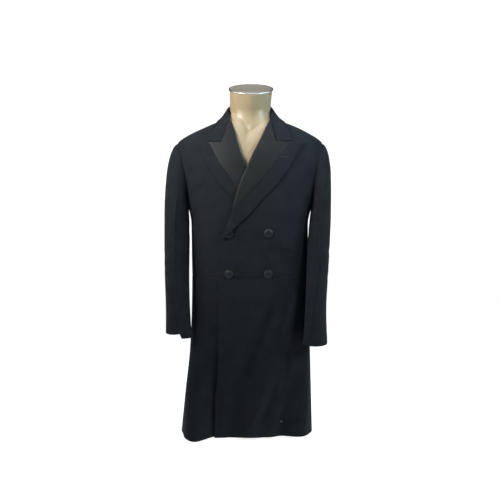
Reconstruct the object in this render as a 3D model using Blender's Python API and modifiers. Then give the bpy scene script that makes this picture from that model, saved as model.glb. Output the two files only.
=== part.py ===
# A double-breasted frock coat on a headless, limbless dress form.
# Metres, +Z up. The front faces -Y, and the wearer's left is +X.
# The origin is on the floor under the middle of the form's foot.
#
# Every cloth piece is a wall laid out on one body surface, the "skin". A place on the skin has an
# angle round the body (0 at the centre front, positive to the wearer's left) and a height z, and
# "out" is how far outside the skin a point lies. Layers that lap over each other have growing outs.

import math

import bpy
import numpy as np
from mathutils import Matrix, Vector
from mathutils.bvhtree import BVHTree

# Cloth
CLOTH = 0.0020                  # wool cloth with its canvas
LAPEL = 0.0025                  # a lapel or collar, two cloths thick
SILK = 0.0010                   # silk facing
SEAM = 0.0003                   # gap between pieces at a seam
LAYER = 0.0029                  # how far an overlapping layer lies outside the one under it
OVER_LAPEL = 0.0087             # how far the left front lies out where the right lapel is under it

# Heights
HEM_Z = 0.010
WAIST_Z = 0.493
BREAK_Z = 0.608                 # where the lapels break and turn back
NECK_Z = 0.968                  # neckline seam, all round
VENT_Z = 0.440

# Armhole, an ellipse in the side view
ARM_Y = 0.004
ARM_Z = 0.800
ARM_HIGH = 0.0975               # half height
ARM_FRONT = 0.058               # half depth before and behind ARM_Y
ARM_BACK = 0.064
SHOULDER_Z = ARM_Z + ARM_HIGH
SIDE_TOP_Z = 0.722              # top of the front's side seam, on the armhole
BACK_SEAM_Z = 0.800             # top of the curved back seam, on the armhole

# Outline of the coat's body: half widths to the wearer's right and left, depths, squareness
BODY = {
    "z":      (0.010, 0.130, 0.275, 0.413, 0.493, 0.560, 0.650, 0.705, 0.755, 0.825, 0.880, 0.898,
               0.909, 0.929, 0.950, 0.960, 0.968, 0.975, 0.985, 1.000, 1.030),
    "right":  (0.213, 0.201, 0.188, 0.183, 0.180, 0.180, 0.181, 0.190, 0.201, 0.2195, 0.223, 0.2235,
               0.211, 0.177, 0.131, 0.108, 0.089, 0.078, 0.071, 0.066, 0.063),
    "left":   (0.193, 0.190, 0.186, 0.181, 0.180, 0.179, 0.179, 0.190, 0.202, 0.2195, 0.223, 0.2235,
               0.212, 0.180, 0.138, 0.112, 0.090, 0.078, 0.071, 0.066, 0.063),
    "front":  (0.124, 0.122, 0.120, 0.118, 0.116, 0.119, 0.125, 0.127, 0.126, 0.117, 0.101, 0.094,
               0.090, 0.081, 0.071, 0.066, 0.062, 0.059, 0.056, 0.054, 0.053),
    "back":   (0.150, 0.145, 0.138, 0.128, 0.114, 0.112, 0.120, 0.127, 0.131, 0.130, 0.122, 0.116,
               0.111, 0.101, 0.090, 0.084, 0.079, 0.075, 0.071, 0.069, 0.069),
    "square": (3.00, 2.90, 2.70, 2.50, 2.40, 2.35, 2.30, 2.30, 2.25, 2.25, 2.20, 2.20,
               2.20, 2.15, 2.10, 2.10, 2.05, 2.00, 2.00, 2.00, 2.00),
}

# Folds of the skirt: where each starts and ends round the body, measured along the cloth from the
# centre front or centre back (positive to the wearer's left), the height where it starts, how far
# it stands out at the hem (negative for a trough) and its half width there
SKIRT_FOLDS = (
    # from, at the top, at the hem, top z, out, half width
    ("front", -0.150, -0.154, 0.430, 0.058, 0.042),
    ("front", -0.112, -0.112, 0.470, -0.018, 0.026),
    ("front", 0.078, -0.062, 0.490, -0.012, 0.024),
    ("front", 0.128, 0.000, 0.480, 0.011, 0.026),
    ("front", 0.150, 0.098, 0.440, -0.022, 0.030),
    ("front", 0.200, 0.158, 0.420, 0.012, 0.026),
    ("back", -0.190, -0.205, 0.430, -0.012, 0.032),
    ("back", -0.130, -0.142, 0.460, 0.018, 0.034),
    ("back", 0.130, 0.146, 0.460, 0.016, 0.034),
    ("back", 0.190, 0.214, 0.430, -0.010, 0.030),
)
# The right skirt falls away behind the left one's edge
UNDER_FOLD = ("front", -0.086, -0.088, 0.440, -0.012, 0.030)

# Front edges and roll lines, seen from the front
LEFT_EDGE = {
    "z": (0.010, 0.123, 0.199, 0.275, 0.406, 0.493, 0.563, 0.608, 0.651, 0.704, 0.760, 0.796,
          0.826, 0.856, 0.896, 0.954, 0.968),
    "x": (-0.114, -0.113, -0.106, -0.101, -0.098, -0.094, -0.087, -0.082, -0.068, -0.050, -0.035,
          -0.022, -0.009, 0.005, 0.025, 0.052, 0.060),
}
RIGHT_EDGE = {
    "z": (0.010, 0.199, 0.406, 0.493, 0.563, 0.608, 0.651, 0.704, 0.760, 0.796, 0.826, 0.889,
          0.937, 0.968),
    "x": (0.110, 0.105, 0.098, 0.094, 0.087, 0.082, 0.066, 0.042, 0.016, 0.000, -0.015, -0.039,
          -0.052, -0.061),
}
# Outer edge of a lapel and the edge of its silk, from the break up to the notch, as distances from
# the middle on the lapel's own side
LAPEL_EDGE = {
    "z": (0.608, 0.641, 0.665, 0.704, 0.747, 0.777, 0.813, 0.865, 0.897),
    "x": (-0.078, -0.048, -0.022, 0.015, 0.051, 0.081, 0.108, 0.140, 0.162),
}
SILK_EDGE = {
    "z": (0.701, 0.744, 0.774, 0.823, 0.851, 0.885, 0.899),
    "x": (-0.049, -0.009, 0.021, 0.056, 0.080, 0.106, 0.124),
}
GORGE_TOP = (0.0605, 0.9676)    # gorge seam: from the roll line ...
GORGE_FOOT = (0.085, 0.9005)    # ... down to the notch
SILK_CORNER = (0.124, 0.8990)
PEAK = (0.163, 0.897)
SILK_FOOT = 0.12                # width of the silk at its foot, as a share of the lapel's
SILK_COLUMNS = 5
SILK_ROW = 4
LAPEL_ROWS = 14
COLLAR_CORNER = (0.124, 0.9025)
NOTCH = 0.0020                  # opening of the notch between collar and lapel
GORGE_GAP = 0.0012

# Seams of the body
SIDE_SEAM_Y = {"z": (0.493, 0.600, 0.722), "y": (-0.052, -0.048, -0.0308)}
BACK_SEAM_X = {"z": (0.493, 0.560, 0.660, 0.740, 0.800), "x": (0.045, 0.053, 0.083, 0.122, 0.176)}
PLEAT_X = {"z": (0.010, 0.300, 0.493), "x": (0.094, 0.066, 0.045)}
PLEAT_UNDER = 0.020             # how far the skirt reaches under the back at the pleat
VENT_UNDER = 0.030              # how far the right back reaches under the left at the vent

# Sleeves, seen on the side they hang: where the front fold and the hind fold lie from the middle,
# how far the cloth bulges away from the body and towards it, and the front and back of the sleeve
RIGHT_SLEEVE = {
    "z":      (0.665, 0.600, 0.520, 0.420, 0.310),
    "crease": (0.227, 0.228, 0.229, 0.222, 0.209),
    "hind":   (0.232, 0.233, 0.234, 0.237, 0.248),
    "away":   (0.035, 0.034, 0.032, 0.030, 0.029),
    "inward": (0.040, 0.042, 0.042, 0.045, 0.050),
    "front":  (-0.080, -0.086, -0.096, -0.110, -0.124),
    "back":   (0.072, 0.064, 0.048, 0.022, -0.014),
}
LEFT_SLEEVE = {
    "z":      (0.665, 0.600, 0.520, 0.420, 0.292),
    "crease": (0.214, 0.210, 0.204, 0.190, 0.170),
    "hind":   (0.217, 0.214, 0.212, 0.214, 0.226),
    "away":   (0.034, 0.034, 0.033, 0.031, 0.029),
    "inward": (0.030, 0.033, 0.033, 0.031, 0.028),
    "front":  (-0.084, -0.096, -0.111, -0.127, -0.140),
    "back":   (0.068, 0.050, 0.022, -0.002, -0.032),
}
SLEEVE_HEAD = 0.108             # how strongly the sleeve head springs out from the shoulder
FORE_SEAM = math.radians(-38)   # fore-arm seam, from the front fold towards the body
HIND_SEAM = math.radians(206)
SLEEVE_LEAN = 0.45
SLEEVE_POINTED = 0.88           # under 1 draws the front and hind folds to a softer point

# Collar: the fold line and the outer edge of the fall, from the centre back to the gorge
COLLAR = {
    "way":        (0.00, 0.18, 0.36, 0.54, 0.70, 0.86, 1.00),
    "fold_angle": (180, 152, 124, 95, 76, 58, 44),
    "fold_z":     (1.006, 1.006, 1.004, 1.001, 0.995, 0.983, 0.968),
    "edge_angle": (180, 154, 126, 94, 56, 39, 32),
    "edge_z":     (0.950, 0.951, 0.954, 0.9595, 0.946, 0.921, 0.902),
}
STAND_ENDS = 62                 # degrees either side of the centre front
FALL_OUT = 0.0064
FALL_EDGE_OUT = 0.0036
COLLAR_OUT = 0.0045             # outer face of the collar above the front, at its ends
LAPEL_OUT = 0.0041              # outer face of a lapel above the front that it lies on
SILK_OUT = 0.0054

# Buttons
FRONT_BUTTONS = ((-0.063, 0.626), (0.053, 0.629), (-0.063, 0.505), (0.054, 0.505))
FRONT_BUTTON_R = 0.0128
BACK_BUTTON = (0.0415, 0.479)
BACK_BUTTON_R = 0.0110
CUFF_BUTTON_R = 0.0072
CUFF_BUTTONS_UP = (0.038, 0.057, 0.076)   # heights above the cuff
CUFF_BUTTON_TURN = math.radians(170)
BUTTON_LIFT = 0.0082            # how far the lapel rises over the button under its corner
BUTTON_LIFT_WIDE = 0.026

# Dress form
FORM_BOTTOM_Z = 0.300
NECK_HALF_WIDTH = 0.0622
NECK_FLARE = 0.0036             # how much wider the neck is at its top
NECK_TOP = Vector((0.003, -0.012, 1.060))   # middle of the neck's top
NECK_LEAN = math.radians(18)    # the cap tips forward
CAP_THICK = 0.0045
CAP_RIM = 0.0026
POLE_R = 0.0160
FOOT_R = 0.105
FOOT_THICK = 0.004

COAT = "frock_coat"
RING_STEPS = 720


def read(table, column, at, key="z"):
    """A column of a table at one height, through a smooth curve that keeps to its rows."""
    xs = np.array(table[key], float)
    ys = np.array(table[column], float)
    if xs[0] > xs[-1]:
        xs, ys = xs[::-1], ys[::-1]
    at = min(max(at, xs[0]), xs[-1])
    i = int(min(max(np.searchsorted(xs, at) - 1, 0), len(xs) - 2))
    rise = np.diff(ys) / np.diff(xs)
    slope = np.empty(len(xs))
    slope[0], slope[-1] = rise[0], rise[-1]
    same = rise[:-1] * rise[1:] > 0
    slope[1:-1] = np.where(same, 2 * rise[:-1] * rise[1:] / np.where(same, rise[:-1] + rise[1:], 1), 0)
    h = xs[i + 1] - xs[i]
    t = (at - xs[i]) / h
    return float(ys[i] * (1 + 2 * t) * (1 - t) ** 2 + ys[i + 1] * t * t * (3 - 2 * t)
                 + h * (slope[i] * t * (1 - t) ** 2 - slope[i + 1] * t * t * (1 - t)))


def smooth(low, high, value):
    """0 below low, 1 above high and a soft step between; high may be under low."""
    t = min(max((value - low) / (high - low), 0.0), 1.0)
    return t * t * (3 - 2 * t)


def mix(a, b, t):
    return a + (b - a) * t


# The body surface

outlines = {}


def outline(z):
    """The body's outline at a height: half widths, depths, squareness and lengths along it."""
    key = round(z, 6)
    if key not in outlines:
        row = {name: read(BODY, name, z) for name in ("right", "left", "front", "back", "square")}
        angles = np.linspace(0, math.pi, RING_STEPS // 2 + 1)
        lengths = {}
        for side in ("right", "left"):
            power = 2 / row["square"]
            x = row[side] * np.abs(np.sin(angles)) ** power
            deep = np.where(np.cos(angles) > 0, row["front"], row["back"])
            y = -deep * np.sign(np.cos(angles)) * np.abs(np.cos(angles)) ** power
            steps = np.hypot(np.diff(x), np.diff(y))
            lengths[side] = np.concatenate([[0], np.cumsum(steps)])
        row["angles"], row["lengths"] = angles, lengths
        outlines[key] = row
    return outlines[key]


def along(angle, z):
    """Length along the cloth from the centre front, signed like the angle."""
    row = outline(z)
    side = "left" if angle >= 0 else "right"
    return math.copysign(np.interp(abs(angle), row["angles"], row["lengths"][side]), angle)


def half_round(angle, z):
    """Length from the centre front to the centre back on the side of this angle."""
    return outline(z)["lengths"]["left" if angle >= 0 else "right"][-1]


def angle_at_length(length, z):
    row = outline(z)
    side = "left" if length >= 0 else "right"
    return math.copysign(np.interp(abs(length), row["lengths"][side], row["angles"]), length)


def angle_at_x(x, z, back=False):
    row = outline(z)
    share = min(abs(x) / row["left" if x >= 0 else "right"], 1.0)
    angle = math.asin(share ** (row["square"] / 2))
    return math.copysign(math.pi - angle if back else angle, x)


def angle_at_y(y, z, side):
    """The angle where the outline is at this y, on the wearer's left (side 1) or right (-1)."""
    row = outline(z)
    share = min(abs(y) / row["front" if y < 0 else "back"], 1.0)
    angle = math.acos(share ** (row["square"] / 2))
    return side * (angle if y < 0 else math.pi - angle)


def round_length(angle, z):
    """Length along the cloth like along(), but running on past the centre back to angles over 180."""
    if angle > math.pi:
        return half_round(1, z) + half_round(-1, z) + along(angle - 2 * math.pi, z)
    return along(angle, z)


def angle_round(length, z):
    half = half_round(1, z)
    if length > half:
        return 2 * math.pi + angle_at_length(length - half - half_round(-1, z), z)
    return angle_at_length(length, z)


def evenly(stops, z):
    """Angles that divide the cloth between stops, each an angle and the columns up to it."""
    angles = [stops[0][0]]
    for (first, _), (last, count) in zip(stops, stops[1:]):
        a, b = round_length(first, z), round_length(last, z)
        angles += [angle_round(mix(a, b, (i + 1) / count), z) for i in range(count)]
    return angles


def skin_normal(x, y, z):
    """Outward normal of the body surface."""
    step = 0.0004

    def level(x, y, z):
        row = outline(z)
        wide = row["left" if x >= 0 else "right"]
        deep = row["front" if y < 0 else "back"]
        return abs(x / wide) ** row["square"] + abs(y / deep) ** row["square"]

    slope = Vector((
        level(x + step, y, z) - level(x - step, y, z),
        level(x, y + step, z) - level(x, y - step, z),
        level(x, y, z + step) - level(x, y, z - step),
    ))
    return slope.normalized()


def fold_out(folds, angle, z):
    """How far the folds push the cloth out."""
    if z > WAIST_Z:
        return 0.0
    here = along(angle, z)
    behind = here - math.copysign(half_round(angle, z), here)
    total = 0.0
    for start, top, hem, top_z, out, wide in folds:
        drop = smooth(top_z, HEM_Z, z)
        middle = mix(top, hem, min(max((top_z - z) / (top_z - HEM_Z), 0), 1))
        away = (here if start == "front" else behind) - middle
        total += out * drop * math.exp(-((away / wide) ** 2))
    return total


def skin(angle, z, out=0.0, folds=SKIRT_FOLDS):
    """The point at an angle and height, out from the body surface."""
    row = outline(z)
    angle = angle - 2 * math.pi if angle > math.pi else angle
    power = 2 / row["square"]
    s, c = math.sin(angle), math.cos(angle)
    x = row["left" if s >= 0 else "right"] * math.copysign(abs(s) ** power, s)
    y = -row["front" if c > 0 else "back"] * math.copysign(abs(c) ** power, c)
    return Vector((x, y, z)) + skin_normal(x, y, z) * (out + fold_out(folds, angle, z))


def front_skin(x, z, out=0.0):
    return skin(angle_at_x(x, z), z, out)


# How far each overlapping piece lies out

def left_front_out(angle, z):
    """The left front and skirt lap over the right ones, and rise over the right lapel."""
    if abs(angle) > math.pi / 2:
        return 0.0
    x = skin(angle, z).x
    lap = LAYER * (1 - smooth(0.115, 0.165, x)) * (1 - smooth(0.880, 0.925, z))
    lapel_edge = -read(LAPEL_EDGE, "x", z)
    over = smooth(lapel_edge - 0.050, lapel_edge - 0.014, x) * (1 - smooth(0.095, 0.150, x))
    over *= smooth(0.560, 0.600, z) * (1 - smooth(0.858, 0.910, z))
    return mix(lap, OVER_LAPEL, over)


def right_back_out(angle, z):
    return LAYER * (1 - smooth(WAIST_Z, WAIST_Z + 0.030, z))


def left_back_out(angle, z):
    """The left back laps over the right one at the vent, and both lap over the pleats."""
    x = abs(skin(angle, z).x)
    vent = (1 - smooth(WAIST_Z + 0.004, WAIST_Z + 0.030, z)) * (1 - smooth(0.036, 0.054, x))
    return right_back_out(angle, z) + LAYER * vent


# Making solids

def collection(name):
    made = bpy.data.collections.new(name)
    bpy.context.scene.collection.children.link(made)
    return made


def material(name, colour, roughness, metallic=0.0):
    made = bpy.data.materials.new(name)
    made.use_nodes = True
    shader = made.node_tree.nodes["Principled BSDF"]
    shader.inputs["Base Color"].default_value = (*colour, 1.0)
    shader.inputs["Roughness"].default_value = roughness
    shader.inputs["Metallic"].default_value = metallic
    return made


def finish(thing, look, sharp=50):
    """Puts an object in the coat's collection, with its material and smooth shading."""
    for owner in list(thing.users_collection):
        owner.objects.unlink(thing)
    bpy.data.collections[COAT].objects.link(thing)
    if not thing.data.materials:
        thing.data.materials.append(look)
    if thing.type == "MESH":
        thing.data.shade_smooth()
        thing.data.set_sharp_from_angle(angle=math.radians(sharp))
    return thing


def from_points(name, points, faces, look):
    mesh = bpy.data.meshes.new(name)
    mesh.from_pydata([tuple(p) for p in points], [], faces)
    mesh.update()
    thing = bpy.data.objects.new(name, mesh)
    bpy.context.scene.collection.objects.link(thing)
    return finish(thing, look)


def wall(name, outer, inner, look, turned=False):
    """A cloth wall between two grids of points, outer and inner, given as rows of equal length."""
    rows, columns = len(outer), len(outer[0])
    points = [p for row in outer for p in row] + [p for row in inner for p in row]
    back = rows * columns

    def at(i, j):
        return i * columns + j

    faces = []                                   # all split the same way, so that layers fit
    for i in range(rows - 1):
        for j in range(columns - 1):
            a, b, c, d = at(i, j), at(i, j + 1), at(i + 1, j + 1), at(i + 1, j)
            faces += [(a, b, c), (a, c, d), (back + c, back + b, back + a), (back + d, back + c, back + a)]
    rim = [at(0, j) for j in range(columns)] + [at(i, columns - 1) for i in range(1, rows)]
    rim += [at(rows - 1, j) for j in range(columns - 2, -1, -1)] + [at(i, 0) for i in range(rows - 2, 0, -1)]
    for number, (a, b) in enumerate(zip(rim, rim[1:] + rim[:1])):
        if number < rows + columns - 2:
            faces += [(b, a, back + b), (a, back + a, back + b)]
        else:
            faces += [(b, a, back + a), (b, back + a, back + b)]
    if turned:
        faces = [tuple(reversed(face)) for face in faces]
    return from_points(name, points, faces, look)


def grid_wall(name, surface, rows, columns, thick, look, turned=False, own=lambda u: 1):
    """A wall whose outer face is surface(u, v) at lists of u and v from 0 to 1, and whose thickness
    is laid off along that surface's own normals, or the skin's where own(u) is 0."""
    step = 1e-4
    outer, inner = [], []
    for v in rows:
        low, high = max(v - step, 0), min(v + step, 1)
        outer_row, inner_row = [], []
        for u in columns:
            near, far = max(u - step, 0), min(u + step, 1)
            across = surface(far, v) - surface(near, v)
            up = surface(u, high) - surface(u, low)
            normal = across.cross(up).normalized() * (-1 if turned else 1)
            point = surface(u, v)
            if own(u) < 1:
                normal = skin_normal(*point).lerp(normal, own(u)).normalized()
            outer_row.append(point)
            inner_row.append(point - normal * thick)
        outer.append(outer_row)
        inner.append(inner_row)
    return wall(name, outer, inner, look, turned)


def solid_tree(thing):
    """A tree to find where a line meets an object."""
    mesh = thing.data
    return BVHTree.FromPolygons([v.co.copy() for v in mesh.vertices], [p.vertices[:] for p in mesh.polygons])


def touch(tree, point, away):
    """Where an object's surface is, seen from outside towards a point, and its normal there."""
    hit = tree.ray_cast(point + away * 0.05, -away, 0.1)
    return hit[:2] if hit[0] else tree.find_nearest(point)[:2]


def turned_piece(name, profile, look, sides, at, towards):
    """A turned piece: its profile runs from the top of the axis down the outside to the bottom."""
    mesh = bpy.data.meshes.new(name)
    mesh.from_pydata([(r, 0, h) for r, h in profile], [(i, i + 1) for i in range(len(profile) - 1)], [])
    thing = bpy.data.objects.new(name, mesh)
    bpy.context.scene.collection.objects.link(thing)
    screw = thing.modifiers.new("Turn", "SCREW")
    screw.steps = screw.render_steps = sides
    screw.use_merge_vertices = True
    screw.merge_threshold = 0.0001
    screw.use_smooth_shade = True
    thing.location = at
    thing.rotation_euler = Vector((0, 0, 1)).rotation_difference(towards).to_euler()
    return finish(thing, look)


# The body of the coat

def panel(name, heights, stops, out, look, folds=SKIRT_FOLDS):
    """A panel of rows at given heights. Its columns run to the wearer's left in front and to the
    right behind, between stops: each a function of z that gives an angle, and the columns to it."""
    outer, inner = [], []
    for z in heights:
        angles = evenly([(stop(z), count) for stop, count in stops], z)
        outer.append([skin(a, z, out(a, z), folds) for a in angles])
        inner.append([skin(a, z, out(a, z) - CLOTH, folds) for a in angles])
    return wall(name, outer, inner, look)


def spread(low, high, count):
    return [mix(low, high, i / count) for i in range(count)]


def steps(count):
    return [i / count for i in range(count + 1)]


def armhole_y(z, face):
    """Where the armhole's front (-1) or back (1) edge is at a height."""
    half = ARM_FRONT if face < 0 else ARM_BACK
    share = min(max((z - ARM_Z) / ARM_HIGH, -1), 1)
    return ARM_Y + face * half * math.sqrt(1 - share * share)


def armhole_heights(low, count):
    """Heights from low to the shoulder that divide the armhole evenly."""
    start = math.asin((low - ARM_Z) / ARM_HIGH)
    return [ARM_Z + ARM_HIGH * math.sin(mix(start, math.pi / 2, i / count)) for i in range(count)]


def arm_edge(z, side, face, seam):
    """Outer edge of a front or back above the side seam: armhole, then shoulder seam."""
    if z < SHOULDER_Z - 1e-9:
        return angle_at_y(armhole_y(z, face), z, side)
    gap = SEAM / 2 / outline(z)["left"]
    return side * (math.radians(90) + face * gap) + seam


def shift(angle, z, distance):
    """An angle moved along the cloth by a distance."""
    return angle_at_length(along(angle, z) + distance, z)


SHOULDER_HEIGHTS = [SHOULDER_Z, 0.909, 0.921, 0.933, 0.945, 0.957, NECK_Z - SEAM / 2]
SKIRT_HEIGHTS = spread(HEM_Z, WAIST_Z - SEAM / 2, 9) + [WAIST_Z - SEAM / 2]
SIDE_ROWS = 7


def make_fronts(wool):
    heights = spread(WAIST_Z + SEAM / 2, SIDE_TOP_Z, SIDE_ROWS)
    heights += armhole_heights(SIDE_TOP_Z, 8) + SHOULDER_HEIGHTS

    def outer_edge(side):
        def edge(z):
            if z < SIDE_TOP_Z:
                return shift(angle_at_y(read(SIDE_SEAM_Y, "y", z), z, side), z, -side * SEAM / 2)
            return arm_edge(z, side, -1, 0.0)
        return edge

    def left_edge(z):
        return angle_at_x(read(LEFT_EDGE, "x", z), z)

    def right_edge(z):
        return angle_at_x(read(RIGHT_EDGE, "x", z), z)

    left = panel("front_left", heights, ((left_edge, 0), (outer_edge(1), 13)), left_front_out, wool)
    right = panel("front_right", heights, ((outer_edge(-1), 0), (right_edge, 13)), lambda a, z: 0.0, wool)
    return left, right


def back_seam_angle(z, side):
    if z >= BACK_SEAM_Z - 1e-9:
        return angle_at_y(armhole_y(z, 1), z, side)
    x = read(BACK_SEAM_X, "x", z)
    return angle_at_x(side * x, z, back=True)


def make_sides(wool):
    """Side bodies, whose top edge is the lower part of the armhole."""
    rows, columns = SIDE_ROWS, 7
    for name, side in (("side_left", 1), ("side_right", -1)):
        start = math.pi + math.acos(min((ARM_Y - armhole_y(SIDE_TOP_Z, -1)) / ARM_FRONT, 1))
        end = 2 * math.pi
        outer, inner = [], []
        for i in range(rows + 1):
            v = i / rows
            outer_row, inner_row = [], []
            for j in range(columns + 1):
                u = j / columns
                turn = mix(start, end, u)
                top_z = ARM_Z + ARM_HIGH * math.sin(turn)
                top = angle_at_y(armhole_y(top_z, -1 if math.cos(turn) < 0 else 1), top_z, side)
                z = mix(WAIST_Z + SEAM / 2, top_z, v)
                front_z = mix(WAIST_Z + SEAM / 2, SIDE_TOP_Z, v)
                back_z = mix(WAIST_Z + SEAM / 2, BACK_SEAM_Z, v)
                front = shift(angle_at_y(read(SIDE_SEAM_Y, "y", front_z), front_z, side),
                              front_z, side * SEAM / 2)
                back = shift(back_seam_angle(back_z, side), back_z, -side * SEAM / 2)
                front_foot, back_foot = seam_feet(side)
                front_top = angle_at_y(armhole_y(SIDE_TOP_Z, -1), SIDE_TOP_Z, side)
                back_top = angle_at_y(armhole_y(BACK_SEAM_Z, 1), BACK_SEAM_Z, side)
                angle = mix(mix(front_foot, back_foot, u), top, v)
                angle += (1 - u) * (front - mix(front_foot, front_top, v))
                angle += u * (back - mix(back_foot, back_top, v))
                outer_row.append(skin(angle, z))
                inner_row.append(skin(angle, z, -CLOTH))
            outer.append(outer_row)
            inner.append(inner_row)
        wall(name, outer, inner, wool, side < 0)


def seam_feet(side):
    """Angles of a side body's two seams at the waist."""
    z = WAIST_Z + SEAM / 2
    front = shift(angle_at_y(read(SIDE_SEAM_Y, "y", z), z, side), z, side * SEAM / 2)
    back = shift(back_seam_angle(z, side), z, -side * SEAM / 2)
    return front, back


def make_backs(wool):
    """Backs, cut in one from neck to hem, with the vent and the tops of the pleats."""
    heights = SKIRT_HEIGHTS + spread(WAIST_Z + SEAM / 2, BACK_SEAM_Z, SIDE_ROWS)[1:]
    heights += armhole_heights(BACK_SEAM_Z, 6) + SHOULDER_HEIGHTS

    def outer_edge(side):
        def edge(z):
            if z < WAIST_Z:
                return angle_at_x(side * read(PLEAT_X, "x", z), z, back=True)
            if z < BACK_SEAM_Z:
                return shift(back_seam_angle(z, side), z, side * SEAM / 2)
            return arm_edge(z, side, 1, 0.0)
        return edge

    def pleat_line(side):
        def line(z):
            return past_back(shift(outer_edge(side)(z), z, side * PLEAT_UNDER))
        return line

    def left_centre(z):
        return angle_at_x(SEAM / 2, z, back=True)

    def right_centre(z):
        return past_back(angle_at_x(-SEAM / 2, z, back=True))

    def right_start(z):
        return angle_at_x(VENT_UNDER, z, back=True) if z < VENT_Z else right_centre(z)

    left = panel("back_left", heights, ((outer_edge(1), 0), (pleat_line(1), 2), (left_centre, 6)),
                 left_back_out, wool)
    right = panel("back_right", heights,
                  ((right_start, 0), (pleat_line(-1), 7), (lambda z: past_back(outer_edge(-1)(z)), 2)),
                  right_back_out, wool)
    return left, right


def past_back(angle):
    """The same place, as an angle that runs on past the centre back."""
    return angle if angle > 0 else angle + 2 * math.pi


def make_skirts(wool):
    """Skirts from the waist seam to the hem, the left one over the right one in front. Where they
    lap over each other or go under a back, both layers have their columns at the same places."""

    def pleat(side):
        return lambda z: angle_at_x(side * read(PLEAT_X, "x", z), z, back=True)

    def tucked(side):
        return lambda z: shift(pleat(side)(z), z, side * PLEAT_UNDER)

    def left_edge(z):
        return angle_at_x(read(LEFT_EDGE, "x", z), z)

    def right_edge(z):
        return angle_at_x(read(RIGHT_EDGE, "x", z), z)

    left = ((left_edge, 0), (right_edge, 10), (pleat(1), 17), (tucked(1), 2))
    right = ((tucked(-1), 0), (pleat(-1), 2), (left_edge, 17), (right_edge, 10))
    panel("skirt_left", SKIRT_HEIGHTS, left, left_front_out, wool)
    panel("skirt_right", SKIRT_HEIGHTS, right, lambda a, z: 0.0, wool, (*SKIRT_FOLDS, UNDER_FOLD))


# Lapels and their silk

def over_button(x, z):
    """The lapel's corner rises over the button that it half covers."""
    bx, bz = FRONT_BUTTONS[0]
    away = math.hypot(x - bx, z - bz) / BUTTON_LIFT_WIDE
    return BUTTON_LIFT * math.exp(-away ** 4)


def silk_share(points, low, high):
    """Where the silk's edge crosses a lapel's row, as a share of its width."""
    first, last = points
    for _ in range(30):
        middle = (low + high) / 2
        x, z = mix(first[0], last[0], middle), mix(first[1], last[1], middle)
        if x < read(SILK_EDGE, "x", z):
            low = middle
        else:
            high = middle
    return max(low, SILK_FOOT)


def lapel_points(side):
    """A lapel's places seen from the front, as rows of (x, z) from the roll line to the edge."""
    roll = LEFT_EDGE if side > 0 else RIGHT_EDGE
    top = [mix_pair(GORGE_TOP, GORGE_FOOT, i / 3) for i in range(3)]
    top += [mix_pair(GORGE_FOOT, SILK_CORNER, i / 2) for i in range(2)]
    top += [mix_pair(SILK_CORNER, PEAK, i / 3) for i in range(4)]
    rows, straight = [], []
    for i in range(LAPEL_ROWS, -1, -1):
        v = 1 - (1 - i / LAPEL_ROWS) ** 1.35      # rows gather towards the top
        roll_z, edge_z = mix(BREAK_Z + 0.002, top[0][1], v), mix(BREAK_Z + 0.002, PEAK[1], v)
        ends = ((side * read(roll, "x", roll_z), roll_z), (read(LAPEL_EDGE, "x", edge_z), edge_z))
        silk = silk_share(ends, 0.0, 1.0) if ends[0][1] > SILK_EDGE["z"][0] else SILK_FOOT
        row = []
        for j, goal in enumerate(top):
            share = silk * j / SILK_COLUMNS if j <= SILK_COLUMNS else mix(silk, 1, (j - SILK_COLUMNS) / 3)
            place = mix_pair(*ends, share)
            if i == LAPEL_ROWS:
                straight.append(place)
            x = place[0] + (goal[0] - straight[j][0]) * v ** 4
            z = place[1] + (goal[1] - straight[j][1]) * v ** 4
            row.append([x, z])
        z = row[SILK_COLUMNS][1]
        if SILK_EDGE["z"][0] < z and i < LAPEL_ROWS:
            move = read(SILK_EDGE, "x", z) - row[SILK_COLUMNS][0]
            for j in range(1, len(row) - 1):     # brings the column back onto the silk's edge
                far = SILK_COLUMNS if j <= SILK_COLUMNS else SILK_COLUMNS - len(row) + 1
                row[j][0] += move * (j if far > 0 else j - len(row) + 1) / far
        rows.insert(0, [(side * x, z) for x, z in row])
    return rows


def mix_pair(a, b, t):
    return mix(a[0], b[0], t), mix(a[1], b[1], t)


def make_lapels(fronts, wool, silk):
    """Each lapel lies on its front, and its silk on the lapel."""
    for name, side, front in (("left", 1, fronts[0]), ("right", -1, fronts[1])):
        tree = solid_tree(front)
        layers = [[], [], [], []]
        for row in lapel_points(side):
            for layer in layers:
                layer.append([])
            for x, z in row:
                normal = skin_normal(*front_skin(x, z))
                under = left_front_out(angle_at_x(x, z), z) if side > 0 else 0.0
                base = touch(tree, front_skin(x, z), Vector((0, -1, 0)))[0]
                if z > 0.87:
                    base.y = min(base.y, (front_skin(x, z) + normal * under).y)
                lift = over_button(x, z) if side > 0 else 0.0
                for layer, out in zip(layers, (LAPEL_OUT, LAPEL_OUT - LAPEL, SILK_OUT, SILK_OUT - SILK)):
                    layer[-1].append(base + normal * (out + lift))
        wall("lapel_" + name, layers[0], layers[1], wool, side < 0)
        part = [[row[:SILK_COLUMNS + 1] for row in layer[SILK_ROW:]] for layer in layers[2:]]
        wall("facing_" + name, part[0], part[1], silk, side < 0)


# Collar

def collar_end(u, side):
    """The collar's front end: down the gorge, then along the notch to the corner."""
    bend = 0.65
    gap = Vector((0, NOTCH))
    if u < bend:
        spot = Vector(GORGE_TOP).lerp(Vector(GORGE_FOOT) + gap, u / bend)
    else:
        spot = (Vector(GORGE_FOOT) + gap).lerp(Vector(COLLAR_CORNER), (u - bend) / (1 - bend))
    spot.x += GORGE_GAP
    return abs(angle_at_x(side * spot.x, spot.y)), spot.y


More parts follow.
